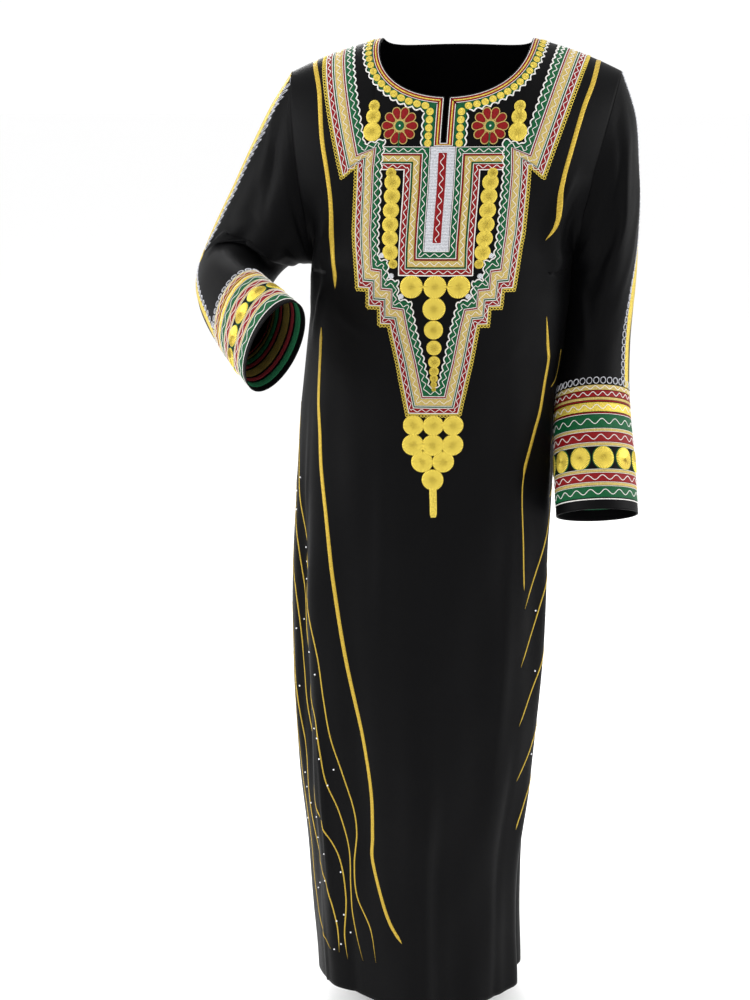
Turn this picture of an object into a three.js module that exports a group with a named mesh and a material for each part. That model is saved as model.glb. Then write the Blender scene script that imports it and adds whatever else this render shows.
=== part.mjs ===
import * as THREE from "three";

// Jalabiya, worn form: a full-length loose robe with wide sleeves, a round neck and a short slit.
// Millimetres, +Z up. -Y is the wearer's front and +X the wearer's left. The origin lies midway
// between the shoulders, at the height of the neck points.

const clothWall = 2;
const seamGap = 0.3;
const hemLevel = -1405;

// Neck and slit.
const neckHalfWidth = 98;
const neckPointLevel = 8;
const napeRise = 17;
const neckDrop = { front: 87, back: 24 };
const slitWidth = 5.6;
const bodyRoundness = 2.2;
const yokeArc = 0.62;
const yokeSweep = yokeArc * Math.PI / 2;

// Shoulders and armholes.
const shoulderSlope = 0.22;
const shoulderCurve = 0.0011;
const shoulderTip = 216;
const armholeMid = -160;
const armholeHalfHeight = 125;
const armholeDepth = { front: 66, back: 60 };
const armholeSettle = 0.3;
// The place of the neck points across a panel.
const neckReach = (neckHalfWidth / shoulderTip) ** (bodyRoundness / 2);
const neckAcross = Math.asin(neckReach * Math.sin(yokeSweep)) / yokeSweep;
const slitReach = (slitWidth / 2 / shoulderTip) ** (bodyRoundness / 2);
const slitAcross = Math.asin(slitReach * Math.sin(yokeSweep)) / yokeSweep;

// Level sections of the body, from mid armhole to hem: side limits in X, depth before and behind
// the side seams, and the turn of the torso in degrees.
const bodySections = [
  { level: -160, left: -200, right: 186, front: 112, back: 98, turn: -9 },
  { level: -225, left: -193, right: 168, front: 118, back: 104, turn: -8 },
  { level: -285, left: -190, right: 150, front: 120, back: 102, turn: -6 },
  { level: -330, left: -196, right: 138, front: 120, back: 98, turn: -4 },
  { level: -400, left: -204, right: 128, front: 120, back: 96, turn: -1 },
  { level: -480, left: -213, right: 128, front: 120, back: 100, turn: 2 },
  { level: -600, left: -222, right: 141, front: 123, back: 116, turn: 4 },
  { level: -760, left: -231, right: 143, front: 127, back: 124, turn: 6 },
  { level: -900, left: -231, right: 140, front: 130, back: 126, turn: 6 },
  { level: -1060, left: -225, right: 130, front: 131, back: 128, turn: 5 },
  { level: -1180, left: -214, right: 120, front: 131, back: 129, turn: 3 },
  { level: -1300, left: -206, right: 122, front: 132, back: 130, turn: 1 },
  { level: -1405, left: -200, right: 127, front: 133, back: 131, turn: 0 },
];

// Long folds. across runs from -1 at the wearer's right seam to 1 at the left seam, width is in
// the same measure, and depth is in millimetres, outwards where positive.
const bodyFolds = {
  front: [
    { acrossTop: 0.86, top: -330, acrossEnd: 0.81, end: -1405, width: 0.08, depth: -18 },
    { acrossTop: 0.7, top: -380, acrossEnd: 0.67, end: -1405, width: 0.08, depth: 7 },
    { acrossTop: -0.82, top: -380, acrossEnd: -0.72, end: -1300, width: 0.08, depth: -12 },
    { acrossTop: -0.66, top: -420, acrossEnd: -0.58, end: -1405, width: 0.09, depth: 8 },
    { acrossTop: -0.36, top: -520, acrossEnd: -0.33, end: -1405, width: 0.12, depth: -6 },
    { acrossTop: 0.22, top: -620, acrossEnd: 0.2, end: -1405, width: 0.13, depth: -6 },
    { acrossTop: -0.06, top: -800, acrossEnd: -0.02, end: -1405, width: 0.09, depth: 7 },
    { acrossTop: -0.7, top: -180, acrossEnd: -0.9, end: -360, width: 0.09, depth: 7 },
    { acrossTop: 0.8, top: -150, acrossEnd: 0.62, end: -330, width: 0.1, depth: 8 },
  ],
  back: [
    { acrossTop: 0.7, top: -300, acrossEnd: 0.6, end: -1405, width: 0.1, depth: -17 },
    { acrossTop: 0.5, top: -360, acrossEnd: 0.44, end: -1405, width: 0.09, depth: 10 },
    { acrossTop: 0.24, top: -420, acrossEnd: 0.22, end: -1405, width: 0.1, depth: -12 },
    { acrossTop: 0.02, top: -300, acrossEnd: 0, end: -1405, width: 0.1, depth: 9 },
    { acrossTop: -0.22, top: -440, acrossEnd: -0.2, end: -1405, width: 0.1, depth: -11 },
    { acrossTop: -0.46, top: -360, acrossEnd: -0.42, end: -1405, width: 0.09, depth: 9 },
    { acrossTop: -0.72, top: -320, acrossEnd: -0.62, end: -1405, width: 0.1, depth: -16 },
    { acrossTop: -0.4, top: -110, acrossEnd: -0.7, end: -330, width: 0.1, depth: 6 },
    { acrossTop: 0.4, top: -110, acrossEnd: 0.7, end: -330, width: 0.1, depth: 6 },
  ],
};

// Sleeve rings from the armhole to the cuff: a point on the outer line, the point across from it on
// the inner line, and the half width between the front and the back of the ring.
const sleeveRings = {
  right: [
    { outX: -216, outY: 0, outZ: -36, inX: -191, inY: 0, inZ: -285, half: 64 },
    { outX: -246, outY: 0, outZ: -78, inX: -196, inY: 0, inZ: -286, half: 68 },
    { outX: -269, outY: 0, outZ: -120, inX: -202, inY: 0, inZ: -286, half: 70 },
    { outX: -301, outY: 2, outZ: -184, inX: -210, inY: 2, inZ: -286, half: 71 },
    { outX: -332, outY: 3, outZ: -245, inX: -224, inY: 2, inZ: -290, half: 68 },
    { outX: -350, outY: -22, outZ: -296, inX: -248, inY: -25, inZ: -306, half: 62 },
    { outX: -342, outY: -84, outZ: -316, inX: -256, inY: -68, inZ: -320, half: 59 },
    { outX: -310, outY: -156, outZ: -325, inX: -241, inY: -130, inZ: -341, half: 60 },
    { outX: -271, outY: -240, outZ: -340, inX: -212, inY: -210, inZ: -366, half: 63 },
  ],
  left: [
    { outX: 216, outY: 0, outZ: -36, inX: 151, inY: 0, inZ: -285, half: 64 },
    { outX: 237, outY: 0, outZ: -92, inX: 154, inY: 0, inZ: -288, half: 68 },
    { outX: 244, outY: 0, outZ: -158, inX: 155, inY: 0, inZ: -293, half: 71 },
    { outX: 248, outY: 2, outZ: -230, inX: 153, inY: 2, inZ: -305, half: 72 },
    { outX: 249, outY: 4, outZ: -310, inX: 149, inY: 4, inZ: -338, half: 69 },
    { outX: 247, outY: 2, outZ: -392, inX: 143, inY: 2, inZ: -402, half: 63 },
    { outX: 246, outY: -24, outZ: -470, inX: 139, inY: -24, inZ: -476, half: 59 },
    { outX: 250, outY: -64, outZ: -546, inX: 140, inY: -64, inZ: -549, half: 58 },
    { outX: 253, outY: -100, outZ: -616, inX: 141, inY: -100, inZ: -618, half: 58 },
  ],
};

// Sleeve folds: turn is the angle in degrees from the outer line over the front, along runs from
// 0 at the armhole to 1 at the cuff, and width is in degrees.
const sleeveFolds = {
  right: [
    { turnStart: 55, start: 0.05, turnEnd: 75, end: 0.6, width: 20, depth: -7 },
    { turnStart: 110, start: 0.1, turnEnd: 120, end: 0.65, width: 18, depth: 5 },
    { turnStart: 200, start: 0.1, turnEnd: 215, end: 0.8, width: 22, depth: -7 },
    { turnStart: 290, start: 0.05, turnEnd: 280, end: 0.75, width: 22, depth: 6 },
  ],
  left: [
    { turnStart: 50, start: 0.05, turnEnd: 95, end: 0.5, width: 18, depth: 6 },
    { turnStart: 95, start: 0.1, turnEnd: 130, end: 0.6, width: 20, depth: -6 },
    { turnStart: 215, start: 0.1, turnEnd: 205, end: 0.75, width: 22, depth: -6 },
    { turnStart: 285, start: 0.05, turnEnd: 275, end: 0.7, width: 22, depth: 6 },
  ],
};

const neckColumns = 6;
const shoulderColumns = 9;
const yokeRows = 8;
const slitRows = 5;
const armholeRows = 6;
const skirtRows = 22;
const sleeveColumns = 28;
const sleeveRows = 24;

const lerp = THREE.MathUtils.lerp;
const clamp = THREE.MathUtils.clamp;
const radians = THREE.MathUtils.degToRad;

function cubic(a, b, c, d, t) {
  const drift = 2 * a - 5 * b + 4 * c - d;
  return b + 0.5 * t * (c - a + t * (drift + t * (3 * (b - c) + d - a)));
}

// A row of the table at place, counted in rows, smooth between them.
function smoothRow(rows, place) {
  const last = rows.length - 1;
  const index = clamp(Math.floor(place), 0, last - 1);
  const picked = [index - 1, index, index + 1, index + 2].map((i) => rows[clamp(i, 0, last)]);
  const row = {};
  for (const key of Object.keys(rows[0])) {
    row[key] = cubic(...picked.map((entry) => entry[key]), place - index);
  }
  return row;
}

function sectionAt(level) {
  const last = bodySections.length - 1;
  let index = 0;
  while (index < last - 1 && bodySections[index + 1].level > level) index += 1;
  const upper = bodySections[index].level;
  const lower = bodySections[index + 1].level;
  return smoothRow(bodySections, index + clamp((upper - level) / (upper - lower), 0, 1));
}

function seamTop(x) {
  const beyond = Math.max(0, Math.abs(x) - neckHalfWidth);
  const inside = Math.max(0, 1 - (x / neckHalfWidth) ** 2);
  return neckPointLevel + napeRise * inside - shoulderSlope * beyond - shoulderCurve * beyond ** 2;
}

function shoulderX(across) {
  const reach = Math.sin(Math.abs(across) * yokeSweep) / Math.sin(yokeSweep);
  return Math.sign(across) * reach ** (2 / bodyRoundness) * shoulderTip;
}

// The zone at which a panel starts: 0 on the shoulder seam, and lower down along the neckline.
function topZone(panel, across) {
  const x = shoulderX(across);
  const inside = Math.sqrt(Math.max(0, 1 - (x / neckHalfWidth) ** 2));
  const share = inside * neckDrop[panel] / (seamTop(x) - armholeMid);
  return Math.acos(1 - share) / (Math.PI / 2);
}

// A body panel. zone runs 0..1 over the shoulder, 1..2 down the armhole and 2..3 to the hem, and
// across runs from seam to seam.
function bodyPoint(panel, across, zone) {
  const facing = panel === "front" ? -1 : 1;
  const armDepth = armholeDepth[panel];
  const side = Math.sign(across);
  let level = armholeMid;
  if (zone > 2) level = lerp(armholeMid - armholeHalfHeight, hemLevel, zone - 2);
  else if (zone > 1) level = armholeMid - armholeHalfHeight * Math.sin((zone - 1) * Math.PI / 2);
  const section = sectionAt(level);
  const edge = armDepth * Math.cos(clamp(zone - 1, 0, 1) * Math.PI / 2);
  const arc = lerp(yokeArc, 1, clamp(zone - 1, 0, 1) ** 1.5);
  const sweep = Math.abs(across) * arc * Math.PI / 2;
  const fullSweep = arc * Math.PI / 2;
  const power = 2 / bodyRoundness;
  const reach = (Math.sin(sweep) / Math.sin(fullSweep)) ** power;
  const fall = Math.cos(fullSweep) ** power;
  const crown = (Math.cos(sweep) ** power - fall) / (1 - fall);
  const middle = (section.left + section.right) / 2;
  let x = middle + side * reach * (section.right - section.left) / 2;
  let depth = edge + (section[panel] - edge) * crown;
  let z = level;
  if (zone < 1) {
    const topX = shoulderX(across);
    const top = seamTop(topX);
    const share = 1 - Math.cos(zone * Math.PI / 2);
    x = lerp(topX, x, share);
    depth *= Math.sin(zone * Math.PI / 2);
    z = top - (top - armholeMid) * share;
  }
  const y = facing * Math.max(depth, seamGap / 2);
  return new THREE.Vector3(x - Math.tan(radians(section.turn)) * y, y, z);
}

function foldDepth(folds, across, level) {
  let sum = 0;
  for (const fold of folds) {
    const along = (fold.top - level) / (fold.top - fold.end);
    if (along <= 0 || along > 1.0001) continue;
    const grow = Math.min(1, along * 3) ** 1.5;
    const fade = fold.end > hemLevel ? Math.min(1, (1 - along) * 3) ** 1.5 : 1;
    const offset = (across - lerp(fold.acrossTop, fold.acrossEnd, along)) / fold.width;
    sum += fold.depth * grow * fade * Math.exp(-offset * offset);
  }
  return sum;
}

function normalOf(point, a, b, stepA, stepB, facing) {
  const alongA = point(a + stepA, b).sub(point(a - stepA, b));
  const alongB = point(a, b + stepB).sub(point(a, b - stepB));
  return alongA.cross(alongB).multiplyScalar(facing).normalize();
}

function bodySurface(panel, across, zone) {
  const facing = panel === "front" ? -1 : 1;
  const base = (a, b) => bodyPoint(panel, clamp(a, -1, 1), clamp(b, 0, 3));
  const normal = normalOf(base, across, zone, 0.004, 0.01, facing);
  const seamY = facing * seamGap / 2;
  const onSeam = Math.abs(across) > 0.999 && zone >= 2;
  const onShoulder = zone < 0.001;
  const point = base(across, zone);
  const edgeFade = clamp((1 - Math.abs(across)) * 12, 0, 1);
  point.addScaledVector(normal, edgeFade * foldDepth(bodyFolds[panel], across, point.z));
  if (onSeam || onShoulder) {
    point.y = seamY;
    normal.y = 0;
    normal.normalize();
  }
  return { point, normal };
}

// The armhole edge as a closed ring: 0 at the shoulder tip, over the front, and round the back.
function armholePoint(side, turn) {
  const front = turn <= Math.PI;
  const fromTip = front ? turn : 2 * Math.PI - turn;
  const { point } = bodySurface(front ? "front" : "back", side, 2 * fromTip / Math.PI);
  point.x += side * seamGap;
  return point;
}

// A plain sleeve ring at place, 0 at the armhole and 1 at the cuff.
function ringPoint(side, turn, place, swell) {
  const rows = sleeveRings[side < 0 ? "right" : "left"];
  const linesAt = (at) => {
    const row = smoothRow(rows, clamp(at, 0, rows.length - 1));
    const outer = new THREE.Vector3(row.outX, row.outY, row.outZ);
    const inner = new THREE.Vector3(row.inX, row.inY, row.inZ);
    const centre = outer.clone().add(inner).multiplyScalar(0.5);
    return { centre, reach: outer.sub(centre), half: row.half };
  };
  const at = place * (rows.length - 1);
  const { centre, reach, half } = linesAt(at);
  const path = linesAt(at + 0.1).centre.sub(linesAt(at - 0.1).centre).normalize();
  const over = new THREE.Vector3().crossVectors(path, reach).normalize().multiplyScalar(side);
  const outer = reach.length();
  return centre
    .addScaledVector(reach.normalize(), (outer + swell) * Math.cos(turn))
    .addScaledVector(over, (half + swell) * Math.sin(turn));
}

function sleevePoint(side, turn, place) {
  let swell = 0;
  for (const fold of sleeveFolds[side < 0 ? "right" : "left"]) {
    const along = (place - fold.start) / (fold.end - fold.start);
    if (along <= 0 || along >= 1) continue;
    const middle = lerp(fold.turnStart, fold.turnEnd, along);
    const offset = (THREE.MathUtils.radToDeg(turn) - middle) / fold.width;
    swell += fold.depth * Math.sin(along * Math.PI) * Math.exp(-offset * offset);
  }
  const settle = clamp(place / armholeSettle, 0, 1);
  const seamShare = (1 - settle) ** 2;
  const seamShift = armholePoint(side, turn).sub(ringPoint(side, turn, 0, 0));
  return ringPoint(side, turn, place, swell).addScaledVector(seamShift, seamShare);
}

// A wall of cloth over a grid of outer points. keep says which cells are cloth, and every edge
// with no neighbour gets its own strip, so the wall closes on itself.
function clothWallFrom(rows, columns, wraps, surface, keep) {
  const columnCount = wraps ? columns : columns + 1;
  const positions = [];
  for (const inner of [0, 1]) {
    for (let row = 0; row <= rows; row += 1) {
      for (let column = 0; column < columnCount; column += 1) {
        const { point, normal } = surface(row, column);
        positions.push(...point.clone().addScaledVector(normal, -clothWall * inner).toArray());
      }
    }
  }
  const layer = (rows + 1) * columnCount;
  const at = (inner, row, column) => inner * layer + row * columnCount + (column % columnCount);
  const kept = (row, column) => {
    if (row < 0 || row >= rows) return false;
    if (!wraps && (column < 0 || column >= columns)) return false;
    return keep(row, (column + columns) % columns);
  };
  const faces = [];
  const quad = (a, b, c, d) => faces.push(a, b, c, a, c, d);
  for (let row = 0; row < rows; row += 1) {
    for (let column = 0; column < columns; column += 1) {
      if (!kept(row, column)) continue;
      const corners = (inner) => [
        at(inner, row, column),
        at(inner, row + 1, column),
        at(inner, row + 1, column + 1),
        at(inner, row, column + 1),
      ];
      const outer = corners(0);
      const lining = corners(1);
      quad(...outer);
      quad(...[...lining].reverse());
      const open = [
        !kept(row, column - 1),
        !kept(row + 1, column),
        !kept(row, column + 1),
        !kept(row - 1, column),
      ];
      open.forEach((isOpen, edge) => {
        const next = (edge + 1) % 4;
        if (isOpen) quad(outer[edge], lining[edge], lining[next], outer[next]);
      });
    }
  }
  return { positions, faces };
}

function meshOf(name, colour, wall, flip) {
  const used = new Map();
  const positions = [];
  const faces = wall.faces.map((index) => {
    if (!used.has(index)) {
      used.set(index, positions.length / 3);
      positions.push(...wall.positions.slice(index * 3, index * 3 + 3));
    }
    return used.get(index);
  });
  if (flip) faces.reverse();
  const geometry = new THREE.BufferGeometry();
  geometry.setAttribute("position", new THREE.Float32BufferAttribute(positions, 3));
  geometry.setIndex(faces);
  geometry.computeVertexNormals();
  const material = new THREE.MeshStandardMaterial({ color: colour, roughness: 0.86, metalness: 0 });
  const mesh = new THREE.Mesh(geometry, material);
  mesh.name = name;
  return mesh;
}

function zoneOfRow(panel, across, row) {
  if (row <= yokeRows) return lerp(topZone(panel, across), 1, row / yokeRows);
  if (row <= yokeRows + armholeRows) return 1 + (row - yokeRows) / armholeRows;
  return 2 + (row - yokeRows - armholeRows) / skirtRows;
}

// Places of the columns across a panel, closer together towards the two neck points, with a
// narrow pair at the middle for the slit.
function acrossPlaces(hasSlit) {
  const half = [];
  for (let column = 0; column < neckColumns; column += 1) {
    half.push(neckAcross * Math.sin(column / neckColumns * Math.PI / 2));
  }
  for (let column = 0; column <= shoulderColumns; column += 1) {
    half.push(lerp(neckAcross, 1, column / shoulderColumns));
  }
  const places = [...half.slice(1).reverse().map((place) => -place), ...half];
  if (!hasSlit) return places;
  const middle = neckColumns + shoulderColumns;
  return [...places.slice(0, middle), -slitAcross, slitAcross, ...places.slice(middle + 1)];
}

function panelMesh(panel, colour) {
  const hasSlit = panel === "front";
  const places = acrossPlaces(hasSlit);
  const columns = places.length - 1;
  const middle = (columns - 1) / 2;
  const rows = yokeRows + armholeRows + skirtRows;
  const surface = (row, column) => {
    const across = places[column];
    return bodySurface(panel, across, zoneOfRow(panel, across, row));
  };
  const keep = (row, column) => !(hasSlit && column === middle && row < slitRows);
  return meshOf(panel, colour, clothWallFrom(rows, columns, false, surface, keep), panel === "back");
}

function sleeveMesh(name, side, colour) {
  const surface = (row, column) => {
    const turn = 2 * Math.PI * column / sleeveColumns;
    const place = row / sleeveRows;
    const round = (angle) => (angle + 2 * Math.PI) % (2 * Math.PI);
    const base = (a, b) => sleevePoint(side, round(a), clamp(b, 0, 1));
    const normal = normalOf(base, turn, place, 0.03, 0.008, side);
    const point = sleevePoint(side, turn, place);
    if (row === 0) {
      normal.x = 0;
      normal.normalize();
    }
    return { point, normal };
  };
  const wall = clothWallFrom(sleeveRows, sleeveColumns, true, surface, () => true);
  return meshOf(name, colour, wall, side > 0);
}

const jalabiya = new THREE.Group();
jalabiya.name = "jalabiya";
jalabiya.add(panelMesh("front", 0x131316));
jalabiya.add(panelMesh("back", 0x111114));
jalabiya.add(sleeveMesh("sleeve_right", -1, 0x151518));
jalabiya.add(sleeveMesh("sleeve_left", 1, 0x151518));

export default jalabiya;
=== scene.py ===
import itertools
import math
import bpy
import numpy as np
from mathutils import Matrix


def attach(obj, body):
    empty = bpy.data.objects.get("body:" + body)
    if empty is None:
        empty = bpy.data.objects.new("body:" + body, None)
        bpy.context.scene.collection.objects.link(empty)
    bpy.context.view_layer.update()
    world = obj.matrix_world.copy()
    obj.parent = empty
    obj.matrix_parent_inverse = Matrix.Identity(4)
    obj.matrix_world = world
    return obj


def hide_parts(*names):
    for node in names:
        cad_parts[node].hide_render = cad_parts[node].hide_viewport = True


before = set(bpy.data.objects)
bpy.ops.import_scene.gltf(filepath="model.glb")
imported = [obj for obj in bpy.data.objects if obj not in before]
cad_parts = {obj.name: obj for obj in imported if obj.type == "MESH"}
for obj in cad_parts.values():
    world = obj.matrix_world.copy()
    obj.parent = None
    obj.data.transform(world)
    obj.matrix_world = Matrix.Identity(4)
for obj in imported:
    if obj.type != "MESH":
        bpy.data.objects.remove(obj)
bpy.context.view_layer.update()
mm = 0.001

# the cut of the robe, in mm
cut = {
    "wall": 1.2,
    "hemLevel": -1405,
    "neckHalfWidth": 98,
    "neckPoint": 8,
    "napeRise": 17,
    "neckDrop": {"front": 87, "back": 24},
    "roundness": 2.2,
    "yokeArc": 0.62,
    "shoulderSlope": 0.22,
    "shoulderCurve": 0.0011,
    "shoulderTip": 216,
    "armholeMid": -160,
    "armholeHalf": 125,
    "armholeDepth": {"front": 66, "back": 60},
    "armholeSettle": 0.3,
    "slitHalf": 2.8,
    "slitEnd": -118,
    "seamHalf": 0.02,
    "holeRound": 0.5,
    "holeRunOn": 0.8,
    "holeBlend": 9,
    "hangFrom": -250,
    "hangOver": 300,
}
# level sections of the body: side limits across, depth before and behind, turn in degrees
sectionKeys = ("level", "left", "right", "front", "back", "turn")
bodySections = [
    (-160, -200, 186, 112, 98, -9),
    (-225, -193, 168, 118, 104, -8),
    (-285, -190, 150, 120, 102, -6),
    (-330, -196, 138, 120, 98, -4),
    (-400, -204, 128, 120, 96, -1),
    (-480, -213, 128, 120, 100, 2),
    (-600, -222, 141, 123, 116, 4),
    (-760, -231, 143, 127, 124, 6),
    (-900, -231, 140, 130, 126, 6),
    (-1060, -225, 130, 131, 128, 5),
    (-1180, -214, 120, 131, 129, 3),
    (-1300, -206, 122, 132, 130, 1),
    (-1405, -200, 127, 133, 131, 0),
]
# cloth under the wearer's left arm hangs straight down from the armhole: level, and how far out
underarmDrape = [(-160, 0), (-225, 4), (-285, 12), (-330, 22), (-400, 26), (-480, 20), (-600, 5), (-700, 0)]
# main creases: share across and level at the top, the same at the end, width, depth in mm
mainFolds = {
    "front": [
        (0.86, -330, 0.81, -1405, 0.08, -18),
        (0.7, -380, 0.67, -1405, 0.08, 7),
        (-0.82, -380, -0.72, -1300, 0.08, -12),
        (-0.66, -420, -0.58, -1405, 0.09, 8),
        (-0.36, -520, -0.33, -1405, 0.12, -6),
        (0.22, -620, 0.2, -1405, 0.13, -6),
        (-0.06, -800, -0.02, -1405, 0.09, 7),
        (-0.7, -180, -0.9, -360, 0.09, 7),
        (0.8, -150, 0.62, -330, 0.1, 8),
    ],
    "back": [
        (0.7, -300, 0.6, -1405, 0.1, -17),
        (0.5, -360, 0.44, -1405, 0.09, 10),
        (0.24, -420, 0.22, -1405, 0.1, -12),
        (0.02, -300, 0, -1405, 0.1, 9),
        (-0.22, -440, -0.2, -1405, 0.1, -11),
        (-0.46, -360, -0.42, -1405, 0.09, 9),
        (-0.72, -320, -0.62, -1405, 0.1, -16),
        (-0.4, -110, -0.7, -330, 0.1, 6),
        (0.4, -110, 0.7, -330, 0.1, 6),
    ],
}
# finer creases on top of the main ones, uneven in length and depth
fineFolds = {
    "front": [
        (0.77, -470, 0.75, -1380, 0.022, 3.6),
        (0.815, -480, 0.79, -1330, 0.026, -5.5),
        (-0.79, -440, -0.75, -900, 0.024, 3.2),
        (-0.85, -500, -0.84, -1250, 0.03, -4.5),
        (-0.6, -860, -0.55, -1330, 0.018, 2.8),
        (-0.63, -890, -0.59, -1300, 0.02, -2.6),
        (-0.69, -1120, -0.66, -1405, 0.018, 2.4),
        (-0.24, -470, -0.22, -860, 0.035, 1.6),
        (0.02, -960, 0.02, -1405, 0.022, 3.2),
        (0.07, -1000, 0.08, -1405, 0.03, -2.6),
        (0.4, -560, 0.36, -1100, 0.035, 1.7),
        (0.5, -900, 0.47, -1405, 0.03, -2.2),
        (-0.44, -1000, -0.42, -1405, 0.03, -2),
        (-0.8, -190, -0.62, -330, 0.04, 2.4),
        (-0.66, -290, -0.8, -400, 0.035, 3.4),
        (-0.7, -275, -0.86, -380, 0.03, -2.6),
        (0.86, -140, 0.58, -262, 0.035, 3.2),
        (0.9, -180, 0.66, -292, 0.03, -2.8),
        (0.72, -260, 0.5, -318, 0.04, 1.6),
        (-0.55, -330, -0.3, -372, 0.05, 1.2),
        (0.5, -350, 0.25, -420, 0.05, 1.1),
    ],
    "back": [
        (0.85, -330, 0.83, -1300, 0.03, -4.5),
        (0.61, -480, 0.56, -1200, 0.025, 3),
        (0.36, -700, 0.33, -1405, 0.025, 2.6),
        (0.13, -420, 0.1, -980, 0.03, -2.4),
        (-0.1, -820, -0.1, -1405, 0.025, 2.4),
        (-0.34, -520, -0.31, -1300, 0.028, -2.6),
        (-0.58, -420, -0.52, -1100, 0.026, 3),
        (-0.85, -340, -0.82, -1350, 0.03, -4.5),
        (0.2, -330, 0.5, -372, 0.05, 1.6),
        (-0.22, -340, -0.5, -384, 0.05, 1.6),
        (0.86, -150, 0.55, -250, 0.04, 2.6),
        (-0.86, -160, -0.55, -262, 0.04, 2.6),
        (0.7, -230, 0.42, -300, 0.04, -2),
        (-0.72, -240, -0.42, -310, 0.04, -2),
    ],
}
# rings from armhole to cuff: outer point, inner point and half width, in mm
sleeveRings = {
    "right": [
        (-216, 0, -36, -191, 0, -285, 64),
        (-246, 0, -78, -196, 0, -286, 68),
        (-269, 0, -120, -202, 0, -286, 70),
        (-301, 2, -184, -210, 2, -286, 71),
        (-332, 3, -245, -224, 2, -290, 68),
        (-350, -22, -296, -248, -25, -306, 62),
        (-342, -84, -316, -256, -68, -320, 59),
        (-310, -156, -325, -241, -130, -341, 60),
        (-258, -244, -343, -206, -210, -367, 62),
    ],
    "left": [
        (216, 0, -36, 151, 0, -285, 64),
        (237, 0, -92, 154, 0, -288, 68),
        (244, 0, -158, 158, 0, -293, 71),
        (248, 2, -230, 158.5, 2, -305, 72),
        (249, 4, -310, 157, 4, -338, 69),
        (247, 2, -392, 151.5, 2, -402, 63),
        (246, -24, -470, 142.5, -24, -476, 59),
        (250, -64, -546, 140, -64, -549, 58),
        (253, -100, -616, 141, -100, -618, 58),
    ],
}
# creases of the sleeves: turn and place at the start, the same at the end, width in degrees, depth;
# the turn runs from the outer line over the front, the place from 0 at the armhole to 1 at the cuff
sleeveFolds = {
    "right": [
        (55, 0.05, 75, 0.6, 20, -7),
        (110, 0.1, 120, 0.65, 18, 5),
        (200, 0.1, 215, 0.8, 22, -7),
        (290, 0.05, 280, 0.75, 22, 6),
        (20, 0.02, 60, 0.3, 7, 2.6),
        (38, 0.0, 84, 0.34, 6, -2.4),
        (70, 0.36, 30, 0.62, 9, 5),
        (50, 0.46, 10, 0.66, 8, -4.5),
        (95, 0.44, 50, 0.7, 8, 3.6),
        (130, 0.3, 96, 0.56, 9, 3),
        (240, 0.2, 262, 0.55, 9, 3),
        (318, 0.1, 334, 0.42, 8, -2.6),
        (340, 0.42, 318, 0.66, 9, 3.4),
        (165, 0.3, 190, 0.6, 9, -3),
    ],
    "left": [
        (50, 0.05, 95, 0.5, 18, 6),
        (95, 0.1, 130, 0.6, 20, -6),
        (215, 0.1, 205, 0.75, 22, -6),
        (285, 0.05, 275, 0.7, 22, 6),
        (30, 0.02, 96, 0.4, 7, 3),
        (48, 0.02, 116, 0.42, 6, -2.6),
        (20, 0.2, 78, 0.56, 8, 2.6),
        (10, 0.34, 60, 0.66, 8, -2.4),
        (150, 0.4, 110, 0.66, 9, 3),
        (240, 0.3, 266, 0.6, 9, -3),
        (318, 0.14, 300, 0.5, 8, 2.8),
        (180, 0.2, 168, 0.55, 9, 3),
    ],
}


def smoothRows(table, place):
    # Catmull-Rom through the rows of a table, at places counted in rows
    rows = np.asarray(table, float)
    last = len(rows) - 1
    place = np.clip(np.asarray(place, float), 0, last)
    index = np.clip(np.floor(place).astype(int), 0, last - 1)
    t = (place - index)[..., None]
    a, b, c, d = (rows[np.clip(index + k, 0, last)] for k in (-1, 0, 1, 2))
    return b + 0.5 * t * (c - a + t * (2 * a - 5 * b + 4 * c - d + t * (3 * (b - c) + d - a)))


def drapeOut(level):
    levels, out = np.array(underarmDrape, float).T
    return np.interp(-np.asarray(level, float), -levels, out)


def sectionAt(level):
    levels = -np.array([row[0] for row in bodySections], float)
    place = np.interp(-np.asarray(level, float), levels, np.arange(len(levels)))
    row = smoothRows(bodySections, place)
    section = {key: row[..., i] for i, key in enumerate(sectionKeys)}
    section["right"] = section["right"] + drapeOut(level)
    return section


def seamTop(x):
    beyond = np.maximum(0, np.abs(x) - cut["neckHalfWidth"])
    inside = np.maximum(0, 1 - (x / cut["neckHalfWidth"]) ** 2)
    slope = cut["shoulderSlope"] * beyond + cut["shoulderCurve"] * beyond**2
    return cut["neckPoint"] + cut["napeRise"] * inside - slope


yokeSweep = cut["yokeArc"] * math.pi / 2


def armArc(low):
    # how far round the side the panel reaches, from the yoke's share to the whole quarter turn
    share = np.sin(low * math.pi / 2)
    return cut["yokeArc"] + (1 - cut["yokeArc"]) * share**4 * (5 - 4 * share)


def shoulderX(across):
    reach = np.sin(np.abs(across) * yokeSweep) / math.sin(yokeSweep)
    return np.sign(across) * reach ** (2 / cut["roundness"]) * cut["shoulderTip"]


def topZone(panel, across):
    x = shoulderX(across)
    inside = np.sqrt(np.maximum(0, 1 - (x / cut["neckHalfWidth"]) ** 2))
    share = inside * cut["neckDrop"][panel] / (seamTop(x) - cut["armholeMid"])
    return np.arccos(1 - share) / (math.pi / 2)


# the hem hangs a little shorter before the wearer's right leg, and wavers
hem = {"rise": 11, "middle": -0.5, "width": 0.32, "waver": 2.5, "waves": 9}
facings = {"front": -1, "back": 1}
# small steps across and down, for slopes of the plain form
baseStep = (0.004, 0.01)


def hemRise(across):
    away = (across - hem["middle"]) / hem["width"]
    return hem["rise"] * np.exp(-(away**2)) + hem["waver"] * np.sin(hem["waves"] * across + 1)


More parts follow.
